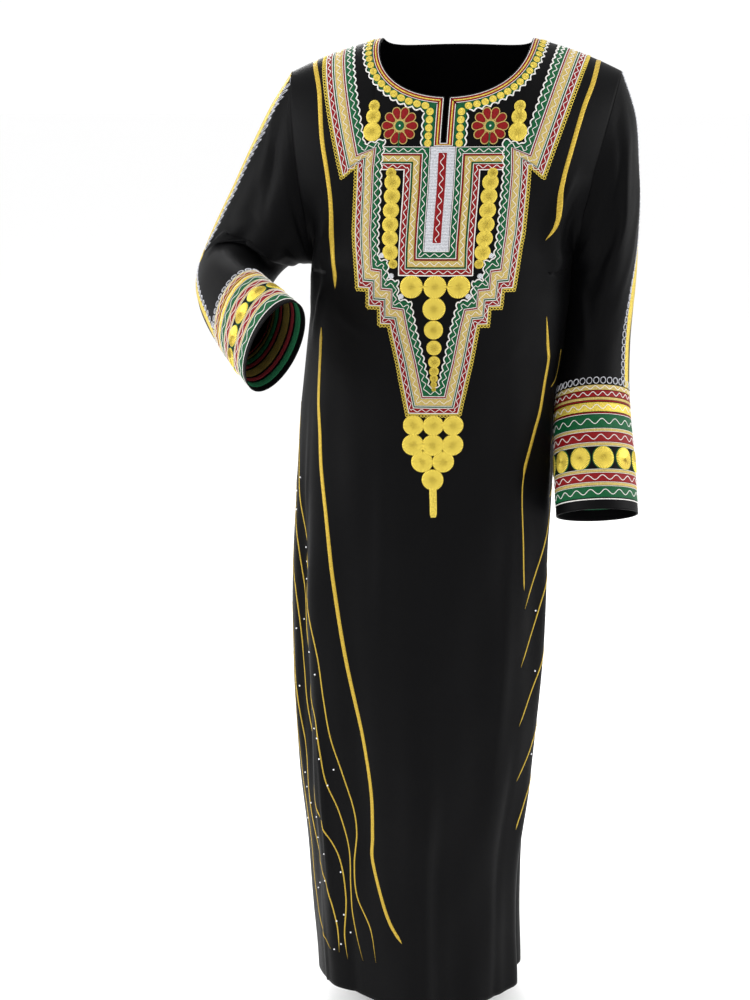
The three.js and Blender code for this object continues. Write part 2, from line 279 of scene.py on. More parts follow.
def bodyBase(panel, across, zone):
    # zone runs 0..1 over the shoulder, 1..2 down the armhole and 2..3 to the hem
    across, zone = np.broadcast_arrays(np.asarray(across, float), np.asarray(zone, float))
    pit = cut["armholeMid"] - cut["armholeHalf"]
    lower = np.clip(zone - 1, 0, 1)
    level = cut["armholeMid"] - cut["armholeHalf"] * np.sin(lower * math.pi / 2)
    foot = cut["hemLevel"] + hemRise(across) * np.clip((zone - 2.5) * 2, 0, 1) ** 2
    level = np.where(zone > 2, pit + (foot - pit) * (zone - 2), level)
    section = sectionAt(level)
    # the armhole is round at its edge, and further in the cloth runs on without a step
    roundHole = cut["holeRound"] + cut["holeRunOn"] * np.clip((1 - np.abs(across)) * cut["holeBlend"], 0, 1)
    edge = cut["armholeDepth"][panel] * np.cos(lower * math.pi / 2) ** (2 * roundHole)
    full = armArc(lower) * math.pi / 2
    sweep = np.abs(across) * full
    power = 2 / cut["roundness"]
    reach = (np.sin(sweep) / np.sin(full)) ** power
    fall = np.maximum(np.cos(full), 0) ** power
    crown = (np.maximum(np.cos(sweep), 0) ** power - fall) / (1 - fall)
    middle = (section["left"] + section["right"]) / 2
    x = middle + np.sign(across) * reach * (section["right"] - section["left"]) / 2
    depth = edge + (section[panel] - edge) * crown
    bend = np.clip(zone, 0, 1) * math.pi / 2
    share = 1 - np.cos(bend)
    topX = shoulderX(across)
    top = seamTop(topX)
    yoke = zone < 1
    x = np.where(yoke, topX + (x - topX) * share, x)
    depth = np.where(yoke, depth * np.sin(bend), depth)
    z = np.where(yoke, top - (top - cut["armholeMid"]) * share, level)
    y = facings[panel] * np.maximum(depth, cut["seamHalf"])
    return np.stack([x - np.tan(np.radians(section["turn"])) * y, y, z], -1)


def foldDepth(panel, across, level):
    total = np.zeros(np.broadcast(across, level).shape)
    for acrossTop, top, acrossEnd, end, width, depth in mainFolds[panel] + fineFolds[panel]:
        along = (top - level) / (top - end)
        grow = np.clip(along * 3, 0, 1) ** 1.5
        toHem = end <= cut["hemLevel"]
        fade = 1.0 if toHem else np.clip((1 - along) * 3, 0, 1) ** 1.5
        live = (along > 0) & ((along <= 1) | toHem)
        offset = (across - (acrossTop + (acrossEnd - acrossTop) * along)) / width
        total += np.where(live, depth * grow * fade * np.exp(-offset * offset), 0)
    return total


def slack(across, level):
    # the slow unevenness of cloth that hangs free
    return (
        0.9 * np.sin(9 * across + level / 61)
        + 0.7 * np.sin(17 * across - level / 43 + 1.3)
        + 0.5 * np.sin(31 * across + level / 97 + 0.4)
    )


def unit(v):
    return v / np.maximum(np.linalg.norm(v, axis=-1, keepdims=True), 1e-9)


def normals(point, a, b, stepA, stepB, facing, lowB=0.0, highB=3.0):
    alongA = point(a + stepA, b) - point(a - stepA, b)
    alongB = point(a, np.minimum(b + stepB, highB)) - point(a, np.maximum(b - stepB, lowB))
    return unit(np.cross(alongA, alongB) * facing)


def onSeam(across, zone):
    # the side seam below the armhole, and the edge along shoulder and neck
    return ((np.abs(across) > 0.999) & (zone >= 2)) | (zone < 0.001)


def plainBody(panel):
    return lambda across, zone: bodyBase(panel, np.clip(across, -1, 1), zone)


def bodyPoint(panel, across, zone):
    # the plain form with its creases, which fade out towards the side seams
    base, facing = plainBody(panel), facings[panel]
    point = base(across, zone)
    normal = normals(base, across, zone, *baseStep, facing)
    fade = np.clip((1 - np.abs(across)) * 12, 0, 1)
    hang = np.clip((cut["hangFrom"] - point[..., 2]) / cut["hangOver"], 0, 1)
    out = foldDepth(panel, across, point[..., 2]) + hang * slack(across, point[..., 2])
    point = point + normal * (fade * out)[..., None]
    point[..., 1] = np.where(onSeam(across, zone), facing * cut["seamHalf"], point[..., 1])
    return point


def bodyNormal(panel, across, zone):
    full = lambda a, b: bodyPoint(panel, np.clip(a, -1, 1), b)
    return normals(full, across, zone, 0.003, 0.004, facings[panel])


def sleeveSide(name):
    return -1 if name == "right" else 1


def ringPoint(name, turn, place, swell=0.0):
    rows = sleeveRings[name]
    at = np.asarray(place, float) * (len(rows) - 1)

    def lines(where):
        row = smoothRows(rows, where)
        outer, inner = row[..., :3], row[..., 3:6]
        centre = (outer + inner) / 2
        return centre, outer - centre, row[..., 6]

    centre, reach, half = lines(at)
    path = unit(lines(at + 0.1)[0] - lines(at - 0.1)[0])
    over = unit(np.cross(path, reach)) * sleeveSide(name)
    outer = np.linalg.norm(reach, axis=-1)
    return (
        centre
        + unit(reach) * ((outer + swell) * np.cos(turn))[..., None]
        + over * ((half + swell) * np.sin(turn))[..., None]
    )


def armholePoint(name, turn):
    # the armhole edge as a closed ring: 0 at the shoulder tip, over the front, round the back
    turn = np.mod(turn, 2 * math.pi)
    side = sleeveSide(name)
    front = turn <= math.pi
    zone = 2 * np.where(front, turn, 2 * math.pi - turn) / math.pi
    edge = np.full(zone.shape, float(side))
    return np.where(front[..., None], bodyPoint("front", edge, zone), bodyPoint("back", edge, zone))


def sleevePoint(name, turn, place):
    turn, place = np.broadcast_arrays(np.asarray(turn, float), np.asarray(place, float))
    place = np.clip(place, 0, 1)
    degrees = np.mod(np.degrees(turn), 360)
    swell = np.zeros(turn.shape)
    for turnStart, start, turnEnd, end, width, depth in sleeveFolds[name]:
        along = (place - start) / (end - start)
        live = (along > 0) & (along < 1)
        offset = degrees - (turnStart + (turnEnd - turnStart) * along)
        offset = (offset + 180) % 360 - 180
        lift = depth * np.sin(np.clip(along, 0, 1) * math.pi) * np.exp(-((offset / width) ** 2))
        swell += np.where(live, lift, 0)
    seamShare = (1 - np.clip(place / cut["armholeSettle"], 0, 1)) ** 2
    shift = armholePoint(name, turn) - ringPoint(name, turn, np.zeros(turn.shape))
    return ringPoint(name, turn, place, swell) + shift * seamShare[..., None]


def sleeveNormal(name, turn, place):
    full = lambda a, b: sleevePoint(name, a, b)
    return normals(full, turn, place, 0.02, 0.004, sleeveSide(name), 0.0, 1.0)


print("surfaces ready")

# meshes: points in mm, with a flat map in mm for the weave and the stitches


def newObject(name, points, faces, material, uvs):
    mesh = bpy.data.meshes.new(name)
    mesh.from_pydata((np.asarray(points) * mm).tolist(), [], np.asarray(faces).tolist())
    layer = mesh.uv_layers.new(name="clothMillimetres")
    loops = np.empty(len(mesh.loops), dtype=np.int32)
    mesh.loops.foreach_get("vertex_index", loops)
    layer.data.foreach_set("uv", np.asarray(uvs, dtype=np.float32)[loops].ravel())
    mesh.polygons.foreach_set("use_smooth", [True] * len(mesh.polygons))
    mesh.validate()
    mesh.update()
    piece = bpy.data.objects.new(name, mesh)
    bpy.context.collection.objects.link(piece)
    mesh.materials.append(material)
    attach(piece, "root")
    return piece


def gridCells(rows, columns, wraps):
    # corners of each cell of a grid of points, in rows
    r, c = np.mgrid[0 : rows - 1, 0 : columns if wraps else columns - 1]
    n = (c + 1) % columns
    return np.stack([r * columns + c, (r + 1) * columns + c, (r + 1) * columns + n, r * columns + n], -1)


def clothShell(name, points, normalsOut, uv, keep, wraps, flip):
    # a thin closed wall over a grid of outer points; keep says which cells are cloth
    outer = points.reshape(-1, 3)
    inner = (points - normalsOut * cut["wall"]).reshape(-1, 3)
    count = len(outer)
    quads = gridCells(*points.shape[:2], wraps)
    quads = quads.reshape(-1, 4) if keep is None else quads[keep]
    edges = {}
    for quad in quads.tolist():
        for k in range(4):
            edge = (quad[k], quad[(k + 1) % 4])
            if (edge[1], edge[0]) in edges:
                del edges[(edge[1], edge[0])]
            else:
                edges[edge] = True
    rim = [[a, a + count, b + count, b] for a, b in edges]
    faces = np.vstack([quads, quads[:, ::-1] + count, np.array(rim)])
    if flip:
        faces = faces[:, ::-1]
    used = np.unique(faces)
    remap = np.full(2 * count, -1)
    remap[used] = np.arange(len(used))
    uvs = np.vstack([uv.reshape(-1, 2)] * 2)[used]
    piece = newObject(name, np.vstack([outer, inner])[used], remap[faces], crepe, uvs)
    p = outer[quads]
    area = 0.5 * np.linalg.norm(np.cross(p[:, 2] - p[:, 0], p[:, 3] - p[:, 1]), axis=1).sum() * mm * mm
    return piece, float(area)


# materials


def linear(hexColour):
    parts = [int(hexColour[i : i + 2], 16) / 255 for i in (1, 3, 5)]
    return [p / 12.92 if p <= 0.04045 else ((p + 0.055) / 1.055) ** 2.4 for p in parts] + [1.0]


def link(tree, node, links):
    # links: socket name or number to (node, output name)
    for socket, (source, output) in links.items():
        tree.links.new(source.outputs[output], node.inputs[socket])


def addNode(tree, kind, settings=None, links=None):
    # settings: attribute, socket name or socket number to value
    node = tree.nodes.new(kind)
    for key, value in (settings or {}).items():
        if isinstance(key, int) or key in node.inputs:
            node.inputs[key].default_value = value
        else:
            setattr(node, key, value)
    link(tree, node, links or {})
    return node


def calculate(tree, operation, *terms):
    # a sum on numbers and on (node, output name) pairs
    fixed = {i: term for i, term in enumerate(terms) if not isinstance(term, tuple)}
    linked = {i: term for i, term in enumerate(terms) if isinstance(term, tuple)}
    return addNode(tree, "ShaderNodeMath", {"operation": operation, **fixed}, linked), "Value"


def noise(tree, place, scale, detail, roughness=0.5):
    settings = {"Scale": scale, "Detail": detail, "Roughness": roughness}
    return addNode(tree, "ShaderNodeTexNoise", settings, {"Vector": place}), "Fac"


def mapRange(tree, value, low, high, outLow=0.0, outHigh=1.0):
    settings = {"From Min": low, "From Max": high, "To Min": outLow, "To Max": outHigh}
    return addNode(tree, "ShaderNodeMapRange", settings, {"Value": value}), "Result"


def mixColours(tree, factor, first, second):
    settings = {"data_type": "RGBA", "A": linear(first), "B": linear(second)}
    return addNode(tree, "ShaderNodeMix", settings, {"Factor": factor}), "Result"


def newMaterial(name, settings):
    material = bpy.data.materials.new(name)
    material.use_nodes = True
    tree = material.node_tree
    tree.nodes.clear()
    shader = addNode(tree, "ShaderNodeBsdfPrincipled", settings)
    addNode(tree, "ShaderNodeOutputMaterial", links={"Surface": (shader, "BSDF")})
    return material, tree, shader


def clothPlace(tree):
    return addNode(tree, "ShaderNodeUVMap", {"uv_map": "clothMillimetres"}), "UV"


# yarn in mm; the crossings are drawn about twice as wide as woven, so that they don't flicker
crepeLook = {
    "colour": "#020203", "worn": "#050506", "yarn": 1.3, "crossing": 0.32, "bump": 0.35, "bumpDepth": 0.0003,
    "roughness": 0.5, "sheen": 0.006, "sheenRoughness": 0.45, "gloss": 0.06, "wander": 1.2, "wearScale": 0.012,
    "fleckDark": 0.8, "fleckLight": 1.35,
}


def makeCrepe(name, look):
    # polyester crepe, woven from high-twist yarn: a dry, nearly black face with a pebbled grain
    material, tree, shader = newMaterial(name, {
        "Roughness": look["roughness"], "Specular IOR Level": look["gloss"],
        "Sheen Weight": look["sheen"], "Sheen Roughness": look["sheenRoughness"],
    })
    place = clothPlace(tree)
    grain = noise(tree, place, 1 / look["yarn"], 3.0, 0.6)
    yarns = []
    for way in "XY":
        settings = {"wave_type": "BANDS", "bands_direction": way, "Scale": look["crossing"] / look["yarn"]}
        settings.update({"Distortion": look["wander"], "Detail": 1.0})
        yarns.append((addNode(tree, "ShaderNodeTexWave", settings, {"Vector": place}), "Fac"))
    height = calculate(tree, "ADD", calculate(tree, "MULTIPLY", *yarns), grain)
    tone = mixColours(tree, noise(tree, place, look["wearScale"], 4.0), look["colour"], look["worn"])
    fleck = mapRange(tree, grain, 0.35, 0.75, look["fleckDark"], look["fleckLight"])
    tinted = addNode(tree, "ShaderNodeVectorMath", {"operation": "SCALE"}, {0: tone, "Scale": fleck})
    settings = {"Strength": look["bump"], "Distance": look["bumpDepth"]}
    bump = addNode(tree, "ShaderNodeBump", settings, {"Height": height})
    link(tree, shader, {"Base Color": (tinted, "Vector"), "Normal": (bump, "Normal")})
    return material


# drift bends the rows of stitches, speck roughens them and varies their tone at random, strand raises each thread
# and paints its top lighter as a painted highlight and the gap beside it darker as painted shade
threadLook = {
    "gloss": 0.14, "bump": 0.7, "bumpDepth": 0.0005, "darkest": 0.36, "lightest": 0.94,
    "laid": {"drift": 5.0, "speck": 0.95, "strand": 0.42},
    "radial": {"drift": 2.5, "speck": 0.8, "strand": 0.65},
}


def makeThread(name, light, deep, stitch, roughness, metallic=0.0, way="laid"):
    # stitched yarn: each stitch a raised strand with a gap beside it, its colour painted lighter on the strand as a
    # painted highlight and darker in the gap as painted shade; the stitch is in mm along a laid thread, and in
    # radians round a radial one
    look = threadLook[way]
    settings = {"Roughness": roughness, "Metallic": metallic, "Specular IOR Level": threadLook["gloss"]}
    material, tree, shader = newMaterial(name, settings)
    place = clothPlace(tree)
    split = addNode(tree, "ShaderNodeSeparateXYZ", links={"Vector": place})
    along = (split, "X")
    if way == "radial":
        along = calculate(tree, "ARCTAN2", (split, "Y"), along)
    drift = calculate(tree, "MULTIPLY", noise(tree, place, 0.55, 3.0, 0.65), look["drift"])
    phase = calculate(tree, "MULTIPLY_ADD", along, 2 * math.pi / stitch, drift)
    strand = mapRange(tree, calculate(tree, "SINE", phase), -1.0, 1.0)
    speck = noise(tree, place, 0.5, 4.0, 0.75)
    ridge = calculate(tree, "MULTIPLY", strand, look["strand"])
    mixed = calculate(tree, "MULTIPLY_ADD", speck, look["speck"], ridge)
    tone = mapRange(tree, mixed, threadLook["darkest"], threadLook["lightest"])
    settings = {"Strength": threadLook["bump"], "Distance": threadLook["bumpDepth"]}
    bump = addNode(tree, "ShaderNodeBump", settings, {"Height": mixed})
    # the dark tone is painted shade in the gaps together with the dark of the random speck; the light tone is a
    # painted highlight on the strand tops
    link(tree, shader, {"Base Color": mixColours(tree, tone, deep, light), "Normal": (bump, "Normal")})
    return material


def makeStone(name):
    # moulded acrylic with a foiled back: a bright, hard point of light
    material, tree, shader = newMaterial(name, {"Roughness": 0.12, "Metallic": 0.4, "IOR": 1.49})
    place = (addNode(tree, "ShaderNodeTexCoord"), "Object")
    link(tree, shader, {"Base Color": mixColours(tree, noise(tree, place, 900.0, 2.0), "#C9CBD2", "#FFFFFF")})
    return material


crepe = makeCrepe("polyesterCrepeWoven", crepeLook)
# metallised thread over a polyester core, couched down: warm yellow, its glints partly from the metal and partly a
# painted highlight on each strand
goldThread = makeThread("goldMetallicThreadCouched", "#F2DA5E", "#6A5210", 1.5, 0.42, 0.3)
# the same thread laid from the middle of each disc outwards: a fixed fan of painted highlights along the strands
# with painted shade between them
goldRadial = makeThread("goldMetallicThreadRadial", "#F4DC5C", "#644B0E", 0.157, 0.42, 0.3, "radial")
# rayon in satin stitch with a little metal in it: a pale, even straw colour
creamGold = makeThread("paleGoldRayonSatinStitch", "#CFBA70", "#755A24", 1.4, 0.5, 0.1)
# flat woven braid of gold lame: duller than the couched thread, with a close grain
stripeGold = makeThread("goldLameBraid", "#CDAF42", "#7A611C", 1.7, 0.4, 0.3)
# dyed rayon in satin stitch: deep colour with a soft silky ridge at each stitch
redThread = makeThread("redRayonSatinStitch", "#900A10", "#450406", 1.4, 0.5)
greenThread = makeThread("greenRayonSatinStitch", "#055C32", "#022A16", 1.4, 0.5)
# bleached rayon cord, sewn down: crisp white lines that stand up from the colours
whiteThread = makeThread("whiteRayonCordStitch", "#EFEDE8", "#A5A29E", 1.6, 0.5)
# silver metallised thread in fill stitch: a cool grey shimmer
silverThread = makeThread("silverMetallicFillStitch", "#DADBE0", "#6E6F75", 1.8, 0.38, 0.3)
# bobbin thread on the wrong side: the same colours, matt and faded
greenReverse = makeThread("greenBobbinReverse", "#2E7F55", "#0A3521", 1.2, 0.65)
redReverse = makeThread("redBobbinReverse", "#96323A", "#45090D", 1.2, 0.65)
goldReverse = makeThread("goldBobbinReverse", "#8F7C3E", "#33290F", 1.2, 0.65)
stone = makeStone("acrylicStoneMoulded")
print("materials ready")

# the cloth pieces: rows and columns of each mesh, and the spread of the flat map in mm
panelGrid = {
    "yokeRows": 60, "armholeRows": 44, "skirtRows": 180, "neckColumns": 24, "sideColumns": 30, "mapWidth": 260,
}
sleeveGrid = {"around": 112, "along": 150, "mapTurn": 60, "mapLength": 600}


def yokeShare(x):
    # the share across of a point on the shoulder line
    reach = (x / cut["shoulderTip"]) ** (cut["roundness"] / 2)
    return np.arcsin(reach * math.sin(yokeSweep)) / yokeSweep


def panelColumns(hasSlit):
    neckAcross = yokeShare(cut["neckHalfWidth"])
    neck = neckAcross * np.sin(np.linspace(0, math.pi / 2, panelGrid["neckColumns"] + 1))
    side = np.linspace(neckAcross, 1, panelGrid["sideColumns"] + 1)[1:]
    half = np.concatenate([neck, side])
    if hasSlit:
        half[0] = yokeShare(cut["slitHalf"])
        return np.concatenate([-half[::-1], half])
    return np.concatenate([-half[::-1], half[1:]])


def makePanel(panel):
    hasSlit = panel == "front"
    across = panelColumns(hasSlit)
    start = topZone(panel, across)
    zones = [start + (1 - start) * share for share in np.linspace(0, 1, panelGrid["yokeRows"] + 1)]
    for low, rows in ((1, panelGrid["armholeRows"]), (2, panelGrid["skirtRows"])):
        zones += [np.full(across.shape, zone) for zone in np.linspace(low, low + 1, rows + 1)[1:]]
    zone = np.array(zones)
    acrossGrid = np.broadcast_to(across, zone.shape)
    points = bodyPoint(panel, acrossGrid, zone)
    out = bodyNormal(panel, acrossGrid, zone)
    out[..., 1] = np.where(onSeam(acrossGrid, zone), 0, out[..., 1])
    uv = np.stack([acrossGrid * panelGrid["mapWidth"], points[..., 2]], -1)
    keep = None
    if hasSlit:
        keep = np.ones((len(zone) - 1, len(across) - 1), bool)
        middle = len(across) // 2 - 1
        keep[:, middle] = points[1:, middle, 2] <= cut["slitEnd"]
    return clothShell(panel + "Cloth", points, unit(out), uv, keep, False, panel == "back")


def makeSleeve(name):
    turn = np.linspace(0, 2 * math.pi, sleeveGrid["around"] + 1)[:-1]
    turns, places = np.meshgrid(turn, np.linspace(0, 1, sleeveGrid["along"] + 1))
    out = sleeveNormal(name, turns, places)
    out[0, :, 0] = 0
    uv = np.stack([turns * sleeveGrid["mapTurn"], places * sleeveGrid["mapLength"]], -1)
    label = "sleeve" + name.capitalize() + "Cloth"
    points = sleevePoint(name, turns, places)
    return clothShell(label, points, unit(out), uv, None, True, sleeveSide(name) > 0)


# flat lengths in m, and the share of its rectangle that a cut piece fills
sheetCut = {"panel": 1.45, "sleeve": 0.62, "filled": 0.92}
panelCuts = {
    "front": {"node": "front", "slot": "body_cloth"},
    "back": {"node": "back", "slot": "body_cloth"},
    "right": {"node": "sleeve_right", "slot": "sleeve_cloth"},
    "left": {"node": "sleeve_left", "slot": "sleeve_cloth"},
}
for name, facts in panelCuts.items():
    piece, area = makePanel(name) if name in mainFolds else makeSleeve(name)
    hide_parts(facts["node"])
    length = sheetCut["panel" if name in mainFolds else "sleeve"]
    width = area / length / sheetCut["filled"]
    print("cloth", name, "area", round(area, 3), "flat", round(width, 3), length)

# maps from the flat work to the cloth: each gives points and normals


def centreShift(z):
    # the stitched centre line wanders a few millimetres as the cloth hangs
    levels = (-613, -560, -535, -485, -440, -400, -380, -355, -330, -285, -250)
    shifts = (2, 2.5, 4, 7, 8.5, 9, 8, 6, 5, 1.5, 0)
    return np.interp(z, levels, shifts)


def chestMap(d, z):
    # d across from the middle of the front, z the level: both in mm
    z = np.asarray(z, float)
    d = np.asarray(d, float) - drapeOut(z) / 2
    tip, mid, pit = cut["shoulderTip"], cut["armholeMid"], cut["armholeMid"] - cut["armholeHalf"]
    half = (bodySections[0][2] - bodySections[0][1]) / 2
    size = np.abs(d)
    topX = size.copy()
    for _ in range(5):
        top = seamTop(topX)
        share = np.clip((top - z) / (top - mid), 0, 1)
        topX = size * tip / (tip + (half - tip) * share)
    power = cut["roundness"] / 2
    reach = np.clip(topX / tip, 0, 1)
    yokeAcross = np.arcsin(reach**power * math.sin(yokeSweep)) / yokeSweep
    yokeZone = np.arccos(np.clip(1 - share, -1, 1)) / (math.pi / 2)
    section = sectionAt(np.minimum(z, mid))
    low = np.arcsin(np.clip((mid - z) / cut["armholeHalf"], 0, 1)) / (math.pi / 2)
    arc = armArc(low) * math.pi / 2
    halfHere = (section["right"] - section["left"]) / 2
    lowAcross = np.arcsin(np.clip((size / halfHere) ** power * np.sin(arc), 0, 1)) / arc
    lowZone = np.where(z > pit, 1 + low, 2 + (pit - z) / (pit - cut["hemLevel"]))
    across = np.sign(d) * np.where(z >= mid, yokeAcross, lowAcross)
    zone = np.where(z >= mid, yokeZone, lowZone)
    return bodyPoint("front", across, zone), bodyNormal("front", across, zone)


def centredMap(d, z):
    return chestMap(np.asarray(d, float) + centreShift(z), z)


def lookUp(grid, row, column):
    # values of a table between its rows and columns
    row = np.clip(row, 0, grid.shape[0] - 1.0001)
    column = np.clip(column, 0, grid.shape[1] - 1.0001)
    r, c = np.floor(row).astype(int), np.floor(column).astype(int)
    fr, fc = row - r, column - c
    low = grid[r, c] * (1 - fc) + grid[r, c + 1] * fc
    high = grid[r + 1, c] * (1 - fc) + grid[r + 1, c + 1] * fc
    return low * (1 - fr) + high * fr


sideTable = {"rows": 281, "reach": 300, "step": 2.0}


def makeSideTable():
    # below the armholes: places across by the distance along the cloth from the middle of the front
    zone = np.linspace(2, 3, sideTable["rows"])
    across = np.linspace(-1, 1, 401)
    points = bodyPoint("front", across[None], zone[:, None])
    length = np.cumsum(np.linalg.norm(np.diff(points[..., :2], axis=1), axis=2), axis=1)
    distance = np.arange(-sideTable["reach"], sideTable["reach"] + 1, sideTable["step"])
    return np.array([np.interp(distance, row - row[199], across[1:]) for row in length])


sideGrid = makeSideTable()


def sideMap(s, z):
    # s the distance along the cloth from the middle of the front, z the level
    s, z = np.broadcast_arrays(np.asarray(s, float), np.asarray(z, float))
    pit = cut["armholeMid"] - cut["armholeHalf"]
    zone = 2 + (pit - z) / (pit - cut["hemLevel"])
    across = lookUp(sideGrid, (zone - 2) * (sideTable["rows"] - 1), (s + sideTable["reach"]) / sideTable["step"])
    across = np.clip(across, -0.998, 0.998)
    return bodyPoint("front", across, zone), bodyNormal("front", across, zone)


def lengths(line):
    return np.concatenate([[0], np.cumsum(np.linalg.norm(np.diff(line, axis=0), axis=1))])


neckTable = {"count": 361, "reach": 27, "step": 1.0}


def makeNeckTable(panel):
    # lines that leave the neck edge square to it and run over the cloth: across and zone by distance
    half = math.sqrt(math.pi / 2)
    w = np.linspace(-half, half, 1201)
    angle = np.sign(w) * (math.pi / 2 - (half - np.abs(w)) ** 2)
    x = cut["neckHalfWidth"] * np.sin(angle)
    across = np.sign(x) * yokeShare(np.abs(x))
    zone = topZone(panel, across)
    edge = bodyBase(panel, across, zone)
    length = lengths(edge)
    even = np.linspace(0, length[-1], neckTable["count"])
    across, zone = np.interp(even, length, across), np.interp(even, length, zone)
    point, facing = plainBody(panel), facings[panel]
    edge = point(across, zone)
    tangent = unit(np.gradient(edge, axis=0))
    normal = normals(point, across, zone, *baseStep, facing)
    away = unit(np.cross(normal, tangent))
    middle = len(even) // 2
    if away[middle, 2] > 0:
        away = -away
    rows = [(across, zone)]
    a, b = across.copy(), zone.copy()
    for _ in range(int(neckTable["reach"] / neckTable["step"])):
        # slopes across and down, and the step that goes straight away from the edge
        da = (point(a + 0.002, b) - point(a - 0.002, b)) / 0.004
        db = (point(a, b + 0.004) - point(a, np.maximum(b - 0.004, 0))) / (0.004 + np.minimum(b, 0.004))[:, None]
        aa, ab, bb = (da * da).sum(1), (da * db).sum(1), (db * db).sum(1)
        fa, fb = (away * da).sum(1), (away * db).sum(1)
        det = aa * bb - ab * ab
        a = a + neckTable["step"] * (bb * fa - ab * fb) / det
        b = np.maximum(b + neckTable["step"] * (aa * fb - ab * fa) / det, 0)
        normal = normals(point, a, b, *baseStep, facing)
        away = unit(away - normal * (away * normal).sum(1)[:, None])
        rows.append((a.copy(), b.copy()))
    grid = np.array(rows)
    return even - np.interp(0, across, even), grid[:, 0], grid[:, 1]


neckTables = {panel: makeNeckTable(panel) for panel in ("front", "back")}


def neckMap(panel):
    places, acrossGrid, zoneGrid = neckTables[panel]

    def mapped(s, away):
        column = (np.asarray(s, float) - places[0]) / (places[1] - places[0])
        row = np.asarray(away, float) / neckTable["step"]
        across, zone = lookUp(acrossGrid, row, column), lookUp(zoneGrid, row, column)
        return bodyPoint(panel, across, zone), bodyNormal(panel, across, zone)

    return mapped


sleeveTable = {"turns": 181, "places": 401, "step": 2.0, "coinLine": 61}


def makeSleeveTable(name):
    # by turn and by distance from the cuff's rim: the place along the sleeve
    turn = np.linspace(0, 2 * math.pi, sleeveTable["turns"])
    place = np.linspace(1, 0, sleeveTable["places"])
    turns, places = np.meshgrid(turn, place, indexing="ij")
    points = sleevePoint(name, turns, places)
    length = np.array([lengths(row) for row in points])
    distances = np.arange(0, length[:, -1].max(), sleeveTable["step"])
    grid = np.array([np.interp(distances, row, place) for row in length])
    ring = sleevePoint(name, turn, grid[:, int(sleeveTable["coinLine"] / sleeveTable["step"])])
    return turn, lengths(ring), grid, length[:, -1]


sleeveTables = {name: makeSleeveTable(name) for name in sleeveRings}


# from the rim: where a drawn distance lies on the sleeve, and how much the bent cuff gathers it outside
cuffSet = {
    "right": {
        "lies": [(0, 0), (26, 25), (42, 38), (75, 61), (94, 73), (116, 86), (158, 110), (958, 694)],
        "gather": 0.16,
    },
    "left": {"lies": [(0, 3), (958, 1057)], "gather": 0},
}
# the gather's middle and width in degrees, and how far it reaches from the rim in mm
gatherSpot = {"turn": -10, "width": 38, "reach": 150}


def sleeveMap(name, inside=False):
    turn, around, grid, _ = sleeveTables[name]
    fit = cuffSet[name]

    def mapped(s, t):
        s, t = np.broadcast_arrays(np.asarray(s, float), np.asarray(t, float))
        angle = np.interp(np.mod(s, around[-1]), around, turn)
        off = np.mod(np.degrees(angle) - gatherSpot["turn"] + 180, 360) - 180
        fade = np.clip(1 - t / gatherSpot["reach"], 0, 1)
        gather = 1 - fit["gather"] * np.exp(-((off / gatherSpot["width"]) ** 2)) * fade
        column = np.interp(t, *np.array(fit["lies"], float).T) * gather / sleeveTable["step"]
        place = lookUp(grid, angle / (turn[1] - turn[0]), column)
        point, normal = sleevePoint(name, angle, place), sleeveNormal(name, angle, place)
        if inside:
            return point - normal * cut["wall"], -normal
        return point, normal

    return mapped


# stitched forms, drawn flat
stitched = {}


def addGrid(piece, material, mapper, grid, uv, wrap=False):
    # a patch of flat points (across, along, height), kept until all of its kind go onto the cloth at once
    grid = np.asarray(grid, float)
    rows, columns = grid.shape[:2]
    quads = gridCells(rows, columns, wrap)[..., [0, 3, 2, 1]].reshape(-1, 4)
    store = stitched.setdefault((piece, material.name), {"material": material, "maps": {}, "uvs": [], "count": 0})
    empty = {"mapper": mapper, "flat": [], "quads": [], "uvs": [], "patch": [], "count": 0}
    group = store["maps"].setdefault(id(mapper), empty)
    group["flat"].append(grid.reshape(-1, 3))
    group["quads"].append(quads + group["count"])
    group["patch"].append(np.full(len(quads), len(group["patch"])))
    group["uvs"].append(np.asarray(uv, float).reshape(-1, 2))
    group["count"] += rows * columns


def layOnCloth(store):
    # carry a piece's flat patches onto the cloth, each patch facing outwards
    points, faces, uvs, count = [], [], [], 0
    for group in store["maps"].values():
        flat, quads, patch = (np.concatenate(group[key]) for key in ("flat", "quads", "patch"))
        base, normal = group["mapper"](flat[:, 0], flat[:, 1])
        placed = base + normal * flat[:, 2:]
        corner = placed[quads]
        face = np.cross(corner[:, 2] - corner[:, 0], corner[:, 3] - corner[:, 1])
        facing = np.bincount(patch, weights=(face * normal[quads[:, 0]]).sum(1))
        quads = np.where((facing[patch] < 0)[:, None], quads[:, ::-1], quads)
        points.append(placed)
        faces.append(quads + count)
        uvs.append(np.concatenate(group["uvs"]))
        count += len(placed)
    return np.vstack(points), np.vstack(faces), np.vstack(uvs)


def sideways(line):
    along = np.gradient(np.asarray(line, float), axis=0)
    along /= np.maximum(np.linalg.norm(along, axis=1, keepdims=True), 1e-9)
    return np.stack([-along[:, 1], along[:, 0]], -1)


# cross sections of the stitches: shares of the width, and lifts as shares of the height; the outer
# lifts, in mm, take the thread down into the cloth
bandForm = {"shares": np.array([0, 0.08, 0.3, 0.5, 0.7, 0.92, 1]), "lifts": np.array([0.72, 0.946, 1, 0.946, 0.72])}
cordForm = {"shares": np.array([-1, -0.6, 0, 0.6, 1]), "lifts": np.array([0.75, 1, 0.75])}
discForm = np.array([(0.02, 0.78), (0.25, 0.86), (0.5, 0.96), (0.72, 1.0), (0.88, 0.93), (0.97, 0.62), (1.0, -0.35)])
discs = itertools.count(1)


def liftsOf(form, height, dip=0.3):
    return np.concatenate([[-dip], form["lifts"] * height, [-dip]])


def together(*values):
    return np.stack(np.broadcast_arrays(*values), -1)


